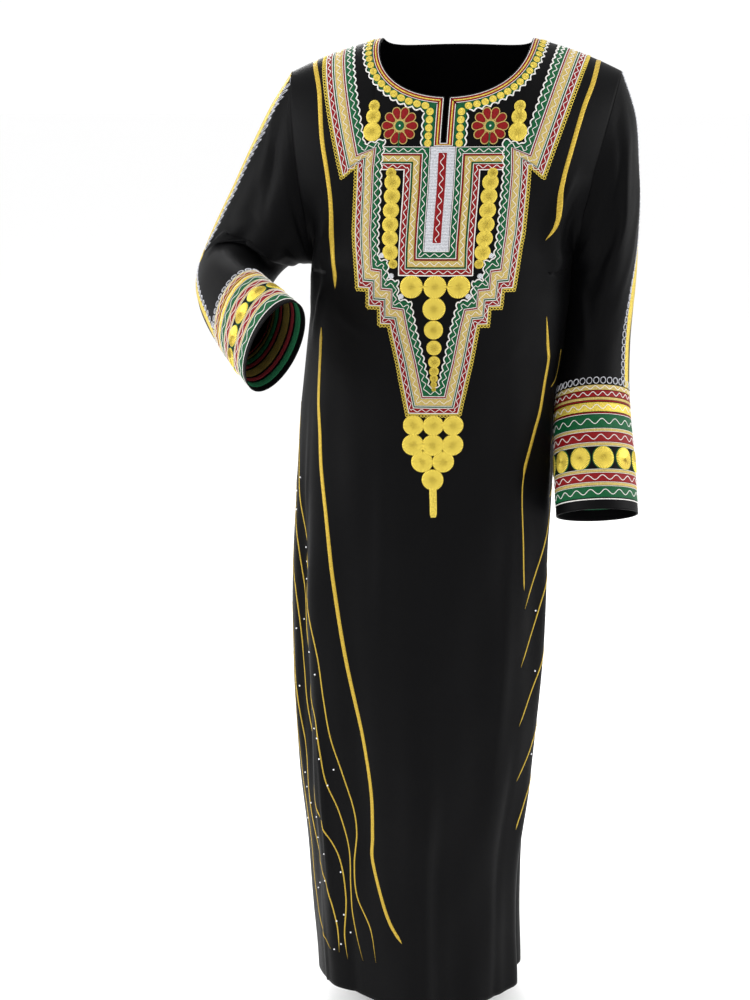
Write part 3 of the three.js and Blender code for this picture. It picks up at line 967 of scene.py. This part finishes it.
def ribbon(piece, material, mapper, left, right, height, dip=0.3):
    # a stitched band between two flat lines with as many points each
    left, right = np.asarray(left, float), np.asarray(right, float)
    shares = bandForm["shares"]
    flat = left[:, None] * (1 - shares)[None, :, None] + right[:, None] * shares[None, :, None]
    grid = together(flat[..., 0], flat[..., 1], liftsOf(bandForm, height, dip))
    width = np.linalg.norm(right - left, axis=1)
    along = lengths((left + right) / 2)
    addGrid(piece, material, mapper, grid, together(along[:, None], width[:, None] * shares))


def cord(piece, material, mapper, line, width, height):
    # one thick thread laid along a flat line; the width is one number or one for each point
    line = np.asarray(line, float)
    shares = cordForm["shares"]
    half = sideways(line) * np.reshape(width, (-1, 1)) / 2
    flat = line[:, None] + half[:, None] * shares[None, :, None]
    grid = together(flat[..., 0], flat[..., 1], liftsOf(cordForm, height))
    uv = together(lengths(line)[:, None], shares * np.mean(width) / 2)
    addGrid(piece, material, mapper, grid, uv)


def roundAngles(segments):
    return np.linspace(0, 2 * math.pi, segments, endpoint=False)


def disc(piece, material, mapper, centre, radius, height, segments=40, spokes=0):
    # a round of satin stitch: steep side, soft rim, slightly sunk middle, its thread turned at each
    angle, shares = roundAngles(segments), discForm[:, :1]
    x = shares * radius * np.cos(angle)
    y = shares * radius * np.sin(angle)
    lift = np.where(discForm[:, 1:] > 0, discForm[:, 1:] * height, discForm[:, 1:])
    if spokes:
        lift = lift * (1 + 0.12 * np.cos(spokes * angle) * (shares > 0.1))
    spin = next(discs) * 2.4
    uv = together(x * math.cos(spin) - y * math.sin(spin), x * math.sin(spin) + y * math.cos(spin))
    addGrid(piece, material, mapper, together(centre[0] + x, centre[1] + y, lift), uv, wrap=True)


def ringlet(piece, material, mapper, centre, radius, width, height, segments=18):
    # a loop of thread or wire
    angle = roundAngles(segments)
    r = (radius + cordForm["shares"] * width / 2)[:, None]
    lifts = liftsOf(cordForm, height)[:, None]
    grid = together(centre[0] + np.cos(angle) * r, centre[1] + np.sin(angle) * r, lifts)
    addGrid(piece, material, mapper, grid, together(angle * radius, r), wrap=True)


def wavy(line, mapper, pitch, amplitude, shape="sine", phase=0.0):
    # the same line, swinging to both sides by its true length on the cloth
    line = np.asarray(line, float)
    true, _ = mapper(line[:, 0], line[:, 1])
    along = lengths(true)
    count = max(1, round(along[-1] / pitch))
    turn = along / along[-1] * count * 2 * math.pi + phase
    swing = {
        "sine": np.sin(turn),
        "lobes": 2 * np.abs(np.sin(turn / 2)) - 1,
        "peak": np.arcsin(np.sin(turn) * 0.97) / 1.33,
    }[shape]
    return line + sideways(line) * (swing * amplitude)[:, None]


def evenPoints(line, mapper, pitch, margin=0.0):
    # places at an even pitch, measured on the cloth
    true, _ = mapper(line[:, 0], line[:, 1])
    along = lengths(true)
    count = max(1, round((along[-1] - 2 * margin) / pitch))
    wanted = np.linspace(margin, along[-1] - margin, count + 1)
    return np.stack([np.interp(wanted, along, line[:, 0]), np.interp(wanted, along, line[:, 1])], -1)


def runCounts(corners, step):
    return [max(2, int(np.ceil(span / step))) for span in np.linalg.norm(np.diff(corners, axis=0), axis=1)]


def runPoints(corners, counts, eased=False):
    # points along straight runs; eased, they are denser towards the shoulder seam at both ends
    out = [corners[:1]]
    for i, count in enumerate(counts):
        share = np.linspace(0, 1, count + 1)[1:, None]
        if eased and i == 0:
            share = share**2
        if eased and i == len(counts) - 1:
            share = 1 - (1 - share) ** 2
        out.append(corners[i] + (corners[i + 1] - corners[i]) * share)
    return np.vstack(out)


def finer(corners, step, eased=False):
    counts = runCounts(corners, step)
    if eased:
        counts[0], counts[-1] = int(counts[0] * 1.4), int(counts[-1] * 1.4)
    return runPoints(corners, counts, eased)


def runBand(piece, material, mapper, edges, counts, height, eased=False):
    # a band between two cornered lines; both keep one count of points
    ribbon(piece, material, mapper, *(runPoints(edge, counts, eased) for edge in edges), height)


def between(rows, share):
    rows = np.array(rows, float)
    return rows[:, :2] * (1 - share) + rows[:, 2:] * share


def mirrored(half):
    return np.vstack([half, half[::-1] * [-1, 1]])


def upright(d, levels):
    return np.stack([np.full(len(levels), float(d)), levels], -1)


# the stepped bands on the chest
# across and level on the outer edge of the whole stack, then on the inner edge, shoulder to point
stepped = [
    (-169, 0, -131.6, 0),
    (-127.5, -160, -100, -119),
    (-108.5, -145, -74, -113),
    (-108.5, -157, -77, -151),
    (-108, -231, -76, -231),
    (-101, -302, -74, -263),
    (-87, -302, -62, -265),
    (-86, -325, -61, -289),
    (-71, -325, -48, -290),
    (-70, -348, -47, -314),
    (-57, -348, -30, -317),
    (-33, -468, -4.5, -432),
]
# pitches along the stack, and the size of its loops and studs
stack = {
    "depth": 36, "seamGap": 0.25, "wavePitch": 11.8, "waveHeight": 1.05, "lobePitch": 10.5, "loopPitch": 4.3,
    "loopRadius": 1.75, "studs": ((-70.5, -259), (-57.5, -285), (-43.5, -311)), "studRadius": 3.6,
}


def stackCorners(offset):
    half = between(stepped, offset / stack["depth"])
    half[0, 1] = seamTop(half[0, 0]) - stack["seamGap"]
    return mirrored(half)


def stackLine(offset, step=2.6):
    return finer(stackCorners(offset), step, True)


# thread, start and end from the outer edge, height in mm
chestLayers = [
    (whiteThread, 0.0, 1.2, 0.55),
    (redThread, 1.0, 7.6, 0.45),
    (whiteThread, 7.4, 8.4, 0.55),
    (greenThread, 8.5, 10.2, 0.55),
    (whiteThread, 10.2, 11.0, 0.5),
    (creamGold, 11.0, 20.8, 0.55),
    (whiteThread, 20.7, 21.4, 0.5),
    (redThread, 21.4, 23.2, 0.55),
    (whiteThread, 23.2, 24.2, 0.55),
    (greenThread, 24.0, 34.4, 0.45),
]
for material, start, end, height in chestLayers:
    edges = stackCorners(start), stackCorners(end)
    runBand("chest", material, centredMap, edges, runCounts(edges[0], 2.4), height, True)
# offset, amplitude and width of the zigzags
for offset, amplitude, width in ((4.3, 1.9, 1.1), (15.9, 2.4, 1.0), (29.0, 2.3, 1.2)):
    line = wavy(stackLine(offset, 1.0), centredMap, stack["wavePitch"], amplitude, "peak")
    cord("chest", whiteThread, centredMap, line, width, stack["waveHeight"])
line = wavy(stackLine(34.8, 0.9), centredMap, stack["lobePitch"], 1.5, "lobes")
cord("chest", whiteThread, centredMap, line, 1.9, 0.9)
for spot in evenPoints(stackLine(-2.9, 0.8), centredMap, stack["loopPitch"]):
    ringlet("chest", goldThread, centredMap, spot, stack["loopRadius"], 1.15, 0.9, 12)
cord("chest", goldThread, centredMap, stackLine(-0.7), 0.9, 0.6)
for d, z in stack["studs"]:
    for side in (-1, 1):
        disc("chest", silverThread, centredMap, (side * d, z), stack["studRadius"], 1.3, segments=20)

# the inner square-cornered band
# across and level on its inner edge, then on its outer edge
squareBand = [(-77.5, -123, -77.5, -151.5), (-16.5, -123, -48.5, -151.5), (-16.5, -253, -48.5, -284.5)]
square = {"depth": 32, "wavePitch": 11.8, "waveWidth": 1.15, "waveHeight": 1.05}


def squareCorners(offset):
    return mirrored(between(squareBand, offset / square["depth"]))


squareLayers = [
    (greenThread, 0.5, 8.6, 0.45),
    (whiteThread, 8.5, 9.5, 0.55),
    (redThread, 9.7, 11.6, 0.55),
    (creamGold, 11.7, 20.6, 0.55),
    (greenThread, 20.9, 22.7, 0.55),
    (whiteThread, 22.6, 23.5, 0.5),
    (redThread, 23.4, 30.8, 0.45),
    (whiteThread, 30.6, 32.2, 0.6),
]
for material, start, end, height in squareLayers:
    edges = squareCorners(start), squareCorners(end)
    runBand("chest", material, centredMap, edges, runCounts(edges[1], 1.8), height)
cord("chest", whiteThread, centredMap, finer(squareCorners(0), 1.8), 1.0, 0.6)
for offset, amplitude in ((4.6, 2.1), (16.2, 2.3), (27.0, 2.0)):
    line = wavy(finer(squareCorners(offset), 1.2), centredMap, square["wavePitch"], amplitude, "peak")
    cord("chest", whiteThread, centredMap, line, square["waveWidth"], square["waveHeight"])

# the silver ground and the red stripe in the middle
# thread, half width, top and foot, points, height
for material, half, top, foot, count, height in (
    (silverThread, 16.8, -122.5, -253.5, 70, 0.35),
    (redThread, 6.0, -130, -242, 60, 0.75),
):
    levels = np.linspace(top, foot, count)
    ribbon("chest", material, centredMap, upright(-half, levels), upright(half, levels), height)
stripeWave = upright(0, np.linspace(-131, -241, 200))
cord("chest", whiteThread, centredMap, wavy(stripeWave, centredMap, 13.5, 2.2, "sine"), 1.15, 1.35)

# the gold rounds
# across, level, radius, on both sides of the middle
pairedRounds = [
    (92, -74, 7.2), (92, -86.5, 9.5), (92, -105, 11.8),
    (64.5, -155, 6.6), (62.3, -166.5, 10.4), (61.8, -184, 10.6), (61.8, -201.5, 10.6),
    (61.5, -219.5, 10.6), (60.8, -237, 10.6), (59.5, -254.5, 10.4), (55.5, -269.5, 6),
    (30.7, -298.5, 15), (26.5, -484, 14), (26.5, -511, 14.7), (14.2, -534, 14.7),
]
middleRounds = [
    (-298.5, 15), (-327, 15), (-354.7, 12.6), (-378.6, 10), (-397.4, 8), (-410, 6.5), (-419.5, 5.5),
    (-428, 4.4), (-434.5, 3), (-484, 14), (-511, 14.7), (-559, 14.7),
]
for order, (d, z, radius) in enumerate(pairedRounds):
    for side in (-1, 1):
        height = 1.35 + 0.12 * (order % 2)
        disc("rounds", goldRadial, centredMap, (side * d, z), radius, height, segments=96, spokes=32)
for order, (z, radius) in enumerate(middleRounds):
    height = 1.3 + 0.12 * (order % 3)
    disc("rounds", goldRadial, centredMap, (0, z), radius, height, segments=96, spokes=32)
# the bars that tie the three top rounds together, and the stem below the pyramid
bar = {"level": -298.5, "near": 9, "far": 24, "width": 3.2, "height": 1.9}
for side in (-1, 1):
    reach = np.linspace(side * bar["near"], side * bar["far"], 12)
    line = np.stack([reach, np.full(12, bar["level"])], -1)
    cord("rounds", goldThread, centredMap, line, bar["width"], bar["height"])
stemForm = {"levels": (-612, -608, -566), "half": (3.5, 4.9, 5.2)}
stem = np.linspace(stemForm["levels"][-1], stemForm["levels"][0], 26)
wide = np.interp(stem, stemForm["levels"], stemForm["half"])
ribbon("rounds", goldThread, centredMap, np.stack([-wide, stem], -1), np.stack([wide, stem], -1), 1.0)

# the two flowers
flower = {
    "d": 57, "z": -97.5, "petals": 10, "inner": 7.6, "outer": 22.8, "petalHalf": 6.174, "petalHeart": 15.4,
    "heart": 6.2,
}
petalForm = {"rings": np.array([0.03, 0.35, 0.65, 0.86, 0.98]), "lifts": np.array([0.8, 0.85, 0.8, 0.65, -0.3])}
for side in (-1, 1):
    centre = np.array([side * flower["d"], flower["z"]])
    for k in range(flower["petals"]):
        angle = (k + 0.5) * 2 * math.pi / flower["petals"] + math.pi / 2
        out = np.array([math.cos(angle), math.sin(angle)])
        over = np.array([-out[1], out[0]])
        t = np.linspace(0, 2 * math.pi, 36)
        reach = flower["inner"] + (flower["outer"] - flower["inner"]) * (1 - np.cos(t)) / 2
        wide = flower["petalHalf"] * np.sin(t) * (0.62 + 0.38 * (1 - np.cos(t)) / 2)
        edge = centre + out * reach[:, None] + over * wide[:, None]
        heart = centre + out * flower["petalHeart"]
        flat = heart + (edge - heart)[None] * petalForm["rings"][:, None, None]
        grid = together(flat[..., 0], flat[..., 1], petalForm["lifts"][:, None])
        local = flat - centre
        uv = np.stack([local @ over, local @ out], -1)
        addGrid("flowers", redThread, centredMap, grid, uv)
        cord("flowers", creamGold, centredMap, edge, 1.3, 1.15)
    disc("flowers", creamGold, centredMap, centre, flower["inner"] + 0.6, 0.9, segments=30)
    disc("flowers", greenThread, centredMap, centre, flower["heart"], 1.3, segments=30)
    disc("flowers", whiteThread, centredMap, centre, 1.2, 1.9, segments=12)
    stalk = upright(side * flower["d"], np.linspace(flower["z"] - 8, -123, 14))
    cord("flowers", greenThread, centredMap, stalk, 2.4, 1.5)

# the neck and the slit
neckLayers = [(redThread, 2.4, 4.4, 0.5), (goldThread, 4.4, 6.1, 0.6), (redThread, 6.1, 7.9, 0.5)]
neckGreen = (8.8, 20.2)
neckDiscs = {"away": 14.2, "pitch": 10.9, "radius": 4.5, "height": 1.2}
neckLobes = {"away": 20.4, "pitch": 10.9, "swing": 1.7}
for panel in ("front", "back"):
    mapper = neckMap(panel)
    first, last = neckTables[panel][0][[0, -1]]
    sides = (-1, 1) if panel == "front" else (0,)

    def neckRun(side, away, gap, count=150):
        ends = (first, last) if side == 0 else ((first, last)[side > 0], side * (cut["slitHalf"] + gap))
        s = np.linspace(ends[0], ends[1], count if side else count * 2)
        return np.stack([s, np.full(s.shape, float(away))], -1)

    for side in sides:
        for material, near, far, height in neckLayers:
            gap = (near + far) / 2
            ribbon("neck", material, mapper, neckRun(side, near, gap), neckRun(side, far, gap), height)
        for away in (1.9, 8.3):
            cord("neck", whiteThread, mapper, neckRun(side, away, away), 0.9, 0.65)
        ribbon("neck", greenThread, mapper, neckRun(side, neckGreen[0], 9), neckRun(side, neckGreen[1], 12), 0.4)
        discLine = neckRun(side, neckDiscs["away"], 17 if side else 0, 260)
        for spot in evenPoints(discLine, mapper, neckDiscs["pitch"], 5.5):
            disc("neck", goldRadial, mapper, spot, neckDiscs["radius"], neckDiscs["height"], segments=26)
        edgeLine = neckRun(side, neckLobes["away"], 22 if side else 0, 500)
        lobes = wavy(edgeLine, mapper, neckLobes["pitch"], neckLobes["swing"], "lobes", math.pi)
        cord("neck", whiteThread, mapper, lobes, 1.9, 0.9)


def slitPath(offset):
    # down one side of the slit, across its foot and up the other
    wide, foot = cut["slitHalf"] + offset, cut["slitEnd"] - 0.4 * offset
    top = -62.5 - offset
    return np.array([(-wide, top), (-wide, foot), (wide, foot), (wide, top)], float)


slitLayers = [(redThread, 2.4, 4.4, 0.5), (goldThread, 4.4, 6.1, 0.6), (redThread, 6.1, 8.2, 0.5)]
for material, near, far, height in slitLayers:
    runBand("neck", material, chestMap, (slitPath(near), slitPath(far)), (34, 10, 34), height)
for offset in (1.7, 8.7):
    cord("neck", whiteThread, chestMap, finer(slitPath(offset), 1.5), 1.1, 0.7)
# level and radius of the rounds beside the slit
slitDiscs = {"d": 19.8, "rounds": [(-80.5, 4.7), (-90.3, 4.7), (-100.1, 4.7), (-109.7, 4.7), (-118.6, 4.6)]}
for side in (-1, 1):
    levels = np.linspace(-72, -121.5, 34)
    ribbon("neck", greenThread, chestMap, upright(side * 12.2, levels), upright(side * 27.2, levels), 0.4)
    for z, radius in slitDiscs["rounds"]:
        disc("neck", goldRadial, chestMap, (side * slitDiscs["d"], z), radius, 1.2, segments=28)
    edgeLine = upright(side * 27.6, np.linspace(-82, -122, 160))
    cord("neck", whiteThread, chestMap, wavy(edgeLine, chestMap, 9.8, 1.3 * side, "lobes"), 1.9, 0.9)

# the gold stripes down the front
# across and level in mm, shoulder to hem; a second run where the cloth has folded over
shoulderRuns = [
    [
        (-185, 0), (-169, -56), (-158.6, -116), (-149.6, -157), (-141.6, -209), (-138.3, -264),
        (-133.3, -290), (-130.4, -307),
    ],
    [(185, 0), (180.9, -46), (171.5, -80), (160.2, -135), (151.7, -179), (146.1, -220), (137, -242)],
]
# below the armholes, with the distance along the cloth in place of the distance across
skirtRuns = [
    [
        (-170, -362), (-172, -407), (-172, -463), (-168, -505), (-165, -559), (-155, -625), (-141, -729),
        (-128, -811), (-112, -893), (-95, -971), (-83, -1041), (-79, -1114), (-78, -1152), (-63, -1208),
        (-47, -1256), (-29, -1288),
    ],
    [
        (156, -345), (163, -385), (166, -407), (162, -435), (156, -469), (146, -501), (138, -525),
        (130, -548), (127, -566),
    ],
]
thinRuns = [
    [(130, -548), (126.5, -575), (128, -606), (132, -650), (136, -700), (138, -731)],
    [(206, -398), (205, -422), (194, -437), (179, -446)],
    [(236, -500), (218, -546), (199, -592), (183, -630), (164, -697), (141, -760)],
    [(245, -600), (223, -640), (200, -684), (177, -742), (160, -795), (138, -849)],
    [(256, -710), (230, -752), (203, -802), (177, -858), (157, -902), (140, -943)],
    [(262, -826), (234, -868), (205, -914), (177, -965), (163, -1000), (146, -1036)],
    [(260, -930), (232, -968), (204, -1008), (174, -1056), (162, -1097), (156, -1122)],
    [
        (-250, -480), (-237, -547), (-228, -621), (-212, -700), (-186, -770), (-169, -835), (-160, -901),
        (-149, -963), (-129, -1021), (-111, -1072), (-104, -1114), (-106, -1170), (-101, -1226),
        (-79, -1277), (-72, -1333),
    ],
    [
        (-258, -590), (-240, -671), (-231, -755), (-219, -830), (-200, -886), (-177, -930), (-166, -983),
        (-155, -1037), (-132, -1087), (-115, -1147), (-112, -1211), (-109, -1267), (-94, -1339),
    ],
    [
        (-266, -690), (-248, -757), (-235, -821), (-228, -880), (-221, -945), (-208, -1005), (-194, -1060),
        (-165, -1107), (-131, -1161), (-120, -1231), (-124, -1302), (-121, -1347),
    ],
    [
        (-268, -785), (-253, -860), (-241, -941), (-228, -1023), (-212, -1105), (-188, -1175),
        (-152, -1221), (-136, -1284), (-134, -1337),
    ],
    [
        (-266, -865), (-253, -967), (-241, -1055), (-226, -1125), (-214, -1180), (-208, -1243),
        (-188, -1301), (-150, -1336),
    ],
]
stripeLook = {"shoulderWidth": 6.6, "skirtWidth": 6.2, "footWidth": 5.4, "thinWidth": 2.5, "taper": 26}


def smoothLine(points, count, ease=1.0):
    place = np.linspace(0, 1, count) ** ease * (len(points) - 1)
    return smoothRows(points, place)


def layStripe(run, mapper, wide, foot, ease, openTop):
    points = np.array(run, float)
    span = lengths(points)[-1]
    count = int(span / 2)
    share = np.linspace(0, 1, count)
    start = np.ones(count) if openTop else np.clip(share * span / stripeLook["taper"], 0.05, 1)
    width = (wide + (foot - wide) * share) * start * np.clip((1 - share) * span / stripeLook["taper"], 0.05, 1)
    line = smoothLine(points, count, ease)
    half = sideways(line) * (width / 2)[:, None]
    ribbon("stripes", stripeGold, mapper, line - half, line + half, 0.6)


for run in shoulderRuns:
    top = (run[0][0], seamTop(run[0][0]) - 0.3)
    layStripe([top] + run[1:], chestMap, stripeLook["shoulderWidth"], 5.6, 1.5, True)
for run in skirtRuns:
    layStripe(run, sideMap, stripeLook["skirtWidth"], stripeLook["footWidth"], 1.0, False)
for run in thinRuns:
    count = int(lengths(np.array(run, float))[-1] / 2)
    share = np.linspace(0, 1, count)
    width = stripeLook["thinWidth"] * np.clip(np.minimum(share, 1 - share) * 12, 0.1, 1)
    cord("stripes", stripeGold, sideMap, smoothLine(np.array(run, float), count), width, 0.5)

# loose stones between the stripes and the side seams, closer together towards the hem
stones = {
    "right": 36, "left": 11, "radius": 1.3,
    "inner": [(-480, 225), (-620, 222), (-760, 185), (-900, 165), (-1030, 140), (-1100, 112), (-1340, 98)],
    "rightTop": -490, "rightFall": 850, "crowding": 0.72, "rightOuter": 244,
    "leftTop": -600, "leftFall": 520, "leftReach": (150, 238),
}
random = np.random.default_rng(7)
innerLevels, innerEdge = np.array(stones["inner"], float).T
for k in range(stones["right"]):
    share = ((k + random.uniform(0.1, 0.9)) / stones["right"]) ** stones["crowding"]
    z = stones["rightTop"] - stones["rightFall"] * share
    s = -random.uniform(np.interp(-z, -innerLevels, innerEdge), stones["rightOuter"])
    disc("stones", stone, sideMap, (s, z), stones["radius"], 1.3, segments=10)
for k in range(stones["left"]):
    z = stones["leftTop"] - stones["leftFall"] * (k + random.uniform(0.1, 0.9)) / stones["left"]
    spot = random.uniform(*stones["leftReach"]), z
    disc("stones", stone, sideMap, spot, stones["radius"], 1.3, segments=10)

# the cuffs
cuffBands = [
    (whiteThread, 9.0, 10.4, 0.6),
    (greenThread, 11.2, 26.0, 0.5),
    (creamGold, 26.4, 30.2, 0.7),
    (redThread, 30.8, 42.2, 0.5),
    (creamGold, 42.8, 46.2, 0.7),
    (creamGold, 76.0, 79.8, 0.7),
    (redThread, 80.4, 93.6, 0.5),
    (creamGold, 94.0, 97.4, 0.7),
    (greenThread, 97.8, 115.8, 0.5),
    (redThread, 116.4, 118.2, 0.6),
    (goldThread, 118.8, 131.0, 0.55),
    (redThread, 131.4, 133.2, 0.6),
    (creamGold, 133.6, 137.2, 0.7),
    (redThread, 137.4, 145.6, 0.5),
    (creamGold, 145.8, 152.6, 0.55),
]
# distance from the rim, pitch and amplitude
cuffWaves = [
    (18.6, 20, 3.0), (36.5, 20, 2.8), (87, 20, 3.0), (106.8, 20, 3.2), (125, 17, 2.6), (141.5, 14, 2.2),
    (149.2, 14, 1.8),
]
cuffLines = [25.8, 30.6, 42.4, 46.6, 75.6, 80.1, 93.8, 97.6, 116.1]
coin = {"pitch": 31.8, "radius": 15.0, "centre": 61}
# by the distance from the rim: turn of the strip that climbs the outside of each sleeve
stripTurns = {
    "left": [(182, 33), (230, 36), (280, 36), (350, 19), (400, 6), (480, -6), (560, -8)],
    "right": [
        (100, -42), (112, -38), (125, -25), (160, -10), (180, -2), (240, 10), (320, 13), (400, 15), (480, 15),
        (540, 12),
    ],
}
strip = {"start": 153, "half": 6.0, "loopsOff": 11.2, "pitch": 10.2}
loop = {"radius": 3.9, "width": 1.25, "height": 1.1, "segments": 22}
loopRow = {"pitch": 10.3, "away": 158}
# the same bands from the wrong side: start, end and bobbin thread
reverseBands = [
    (11.2, 26.0, greenReverse), (30.8, 42.2, redReverse), (47, 75, goldReverse), (80.4, 93.6, redReverse),
    (97.8, 115.8, greenReverse), (118.8, 131, goldReverse), (137.4, 145.6, redReverse),
]


def ringAt(t, s):
    return np.stack([s, np.full(s.shape, float(t))], -1)


for name in sleeveRings:
    mapper = sleeveMap(name)
    turn, around, _, total = sleeveTables[name]
    girth = around[-1]
    piece = "cuff" + name.capitalize()
    ringS = np.linspace(0, girth, 190)
    for material, near, far, height in cuffBands:
        ribbon(piece, material, mapper, ringAt(near, ringS), ringAt(far, ringS), height)
    for t in cuffLines:
        cord(piece, whiteThread, mapper, ringAt(t, ringS), 0.8, 0.75)
    denseS = np.linspace(0, girth, 400)
    for t, pitch, amplitude in cuffWaves:
        count = round(girth / pitch)
        line = ringAt(t, denseS)
        line[:, 1] += amplitude * np.sin(denseS / girth * count * 2 * math.pi + t)
        cord(piece, whiteThread, mapper, line, 1.35, 1.1)
    coins = round(girth / coin["pitch"])
    for k in range(coins):
        centre = ((k + 0.62) * girth / coins, coin["centre"])
        disc(piece, greenThread, mapper, centre, coin["radius"] + 0.5, 0.8, segments=48)
        disc(piece, goldRadial, mapper, centre, coin["radius"] - 0.6, 1.7, segments=120, spokes=40)
    loops = round(girth / loopRow["pitch"])
    for k in range(loops):
        ringlet(piece, silverThread, mapper, (k * girth / loops, loopRow["away"]), **loop)
    # the strip that climbs the outside of the sleeve with its own row of loops
    places = np.array(stripTurns[name], float)
    drawn, lies = np.array(cuffSet[name]["lies"], float).T
    t = np.linspace(strip["start"], np.interp(total[0] - 6, lies, drawn), 240)
    turnHere = np.interp(np.interp(t, drawn, lies), places[:, 0], places[:, 1])
    s = np.interp(np.radians(turnHere) % (2 * math.pi), turn, around)
    s = np.unwrap(s, period=girth)
    kernel = np.ones(25) / 25
    s = np.convolve(np.pad(s, 12, mode="edge"), kernel, mode="valid")
    centreLine = np.stack([s, t], -1)
    half = sideways(centreLine) * strip["half"]
    stripPiece = "strip" + name.capitalize()
    ribbon(stripPiece, goldThread, mapper, centreLine - half, centreLine + half, 0.7)
    for lift in (-1, 1):
        cord(stripPiece, creamGold, mapper, centreLine + half * lift, 1.0, 0.9)
    loopLine = centreLine + np.array([strip["loopsOff"], 0])
    for spot in evenPoints(loopLine, mapper, strip["pitch"])[1:]:
        ringlet(stripPiece, silverThread, mapper, spot, **loop)
    inner = sleeveMap(name, inside=True)
    for near, far, material in reverseBands:
        edges = ringAt(near, ringS), ringAt(far, ringS)
        ribbon(piece + "Reverse", material, inner, *edges, 0.25, dip=0.2)

triangles = 0
for (piece, materialName), store in stitched.items():
    points, faces, uvs = layOnCloth(store)
    newObject(piece + materialName[0].upper() + materialName[1:], points, faces, store["material"], uvs)
    triangles += 2 * len(faces)
print("stitching ready:", triangles, "triangles")

# camera and light
cameraPlace = {"lens": 50.18, "sensor": 36.0, "x": -0.109, "y": -1.92, "z": 0.0, "pitch": 18.1}
cameraData = bpy.data.cameras.new("camera")
cameraData.lens = cameraPlace["lens"]
cameraData.sensor_width = cameraPlace["sensor"]
cameraData.clip_start = 0.05
camera = bpy.data.objects.new("camera", cameraData)
camera.location = (cameraPlace["x"], cameraPlace["y"], cameraPlace["z"])
camera.rotation_euler = (math.radians(90 - cameraPlace["pitch"]), 0, 0)
bpy.context.collection.objects.link(camera)
bpy.context.scene.camera = camera


def addArea(name, place, aim, size, power):
    data = bpy.data.lights.new(name, "AREA")
    data.size = size
    data.energy = power
    light = bpy.data.objects.new(name, data)
    light.location = place
    direction = np.array(aim, float) - np.array(place, float)
    flat = math.hypot(direction[0], direction[1])
    heading = math.atan2(direction[1], direction[0]) - math.pi / 2
    light.rotation_euler = (math.atan2(flat, -direction[2]), 0, heading)
    bpy.context.collection.objects.link(light)


addArea("keyLight", (-1.8, -2.2, 1.2), (0, 0, -0.5), 1.0, 14)
addArea("leftLight", (-2.5, -0.5, 0.3), (0, 0, -0.6), 0.9, 46)
addArea("rightLight", (2.5, -0.3, 0.1), (0, 0, -0.6), 0.9, 40)
addArea("topLight", (0.2, 0.2, 2.2), (0, 0, -0.4), 1.4, 18)
addArea("rimLight", (-0.6, 2.6, 0.9), (0, 0, -0.5), 1.4, 45)

world = bpy.data.worlds.new("studio")
world.use_nodes = True
world.node_tree.nodes["Background"].inputs["Color"].default_value = linear("#FFFFFF")
world.node_tree.nodes["Background"].inputs["Strength"].default_value = 1.03
bpy.context.scene.world = world
bpy.context.scene.view_settings.view_transform = "Standard"

# painted studio floor: even and matt, so that the part stands on soft shade alone
floorMaterial, floorTree, floorShader = newMaterial("paintedStudioFloor", {"Roughness": 0.9})
floorNoise = addNode(floorTree, "ShaderNodeTexNoise", {"Scale": 3.0})
floorTone = mixColours(floorTree, (floorNoise, "Fac"), "#FAFAFA", "#FDFDFD")
link(floorTree, floorShader, {"Base Color": floorTone})
floorMesh = bpy.data.meshes.new("floor")
floorSize, floorLevel = 30.0, -1.46
corners = [(x * floorSize, y * floorSize, floorLevel) for x, y in ((-1, -1), (1, -1), (1, 1), (-1, 1))]
floorMesh.from_pydata(corners, [], [(0, 1, 2, 3)])
floorMesh.materials.append(floorMaterial)
floor = bpy.data.objects.new("floor", floorMesh)
bpy.context.collection.objects.link(floor)
print("stage ready")
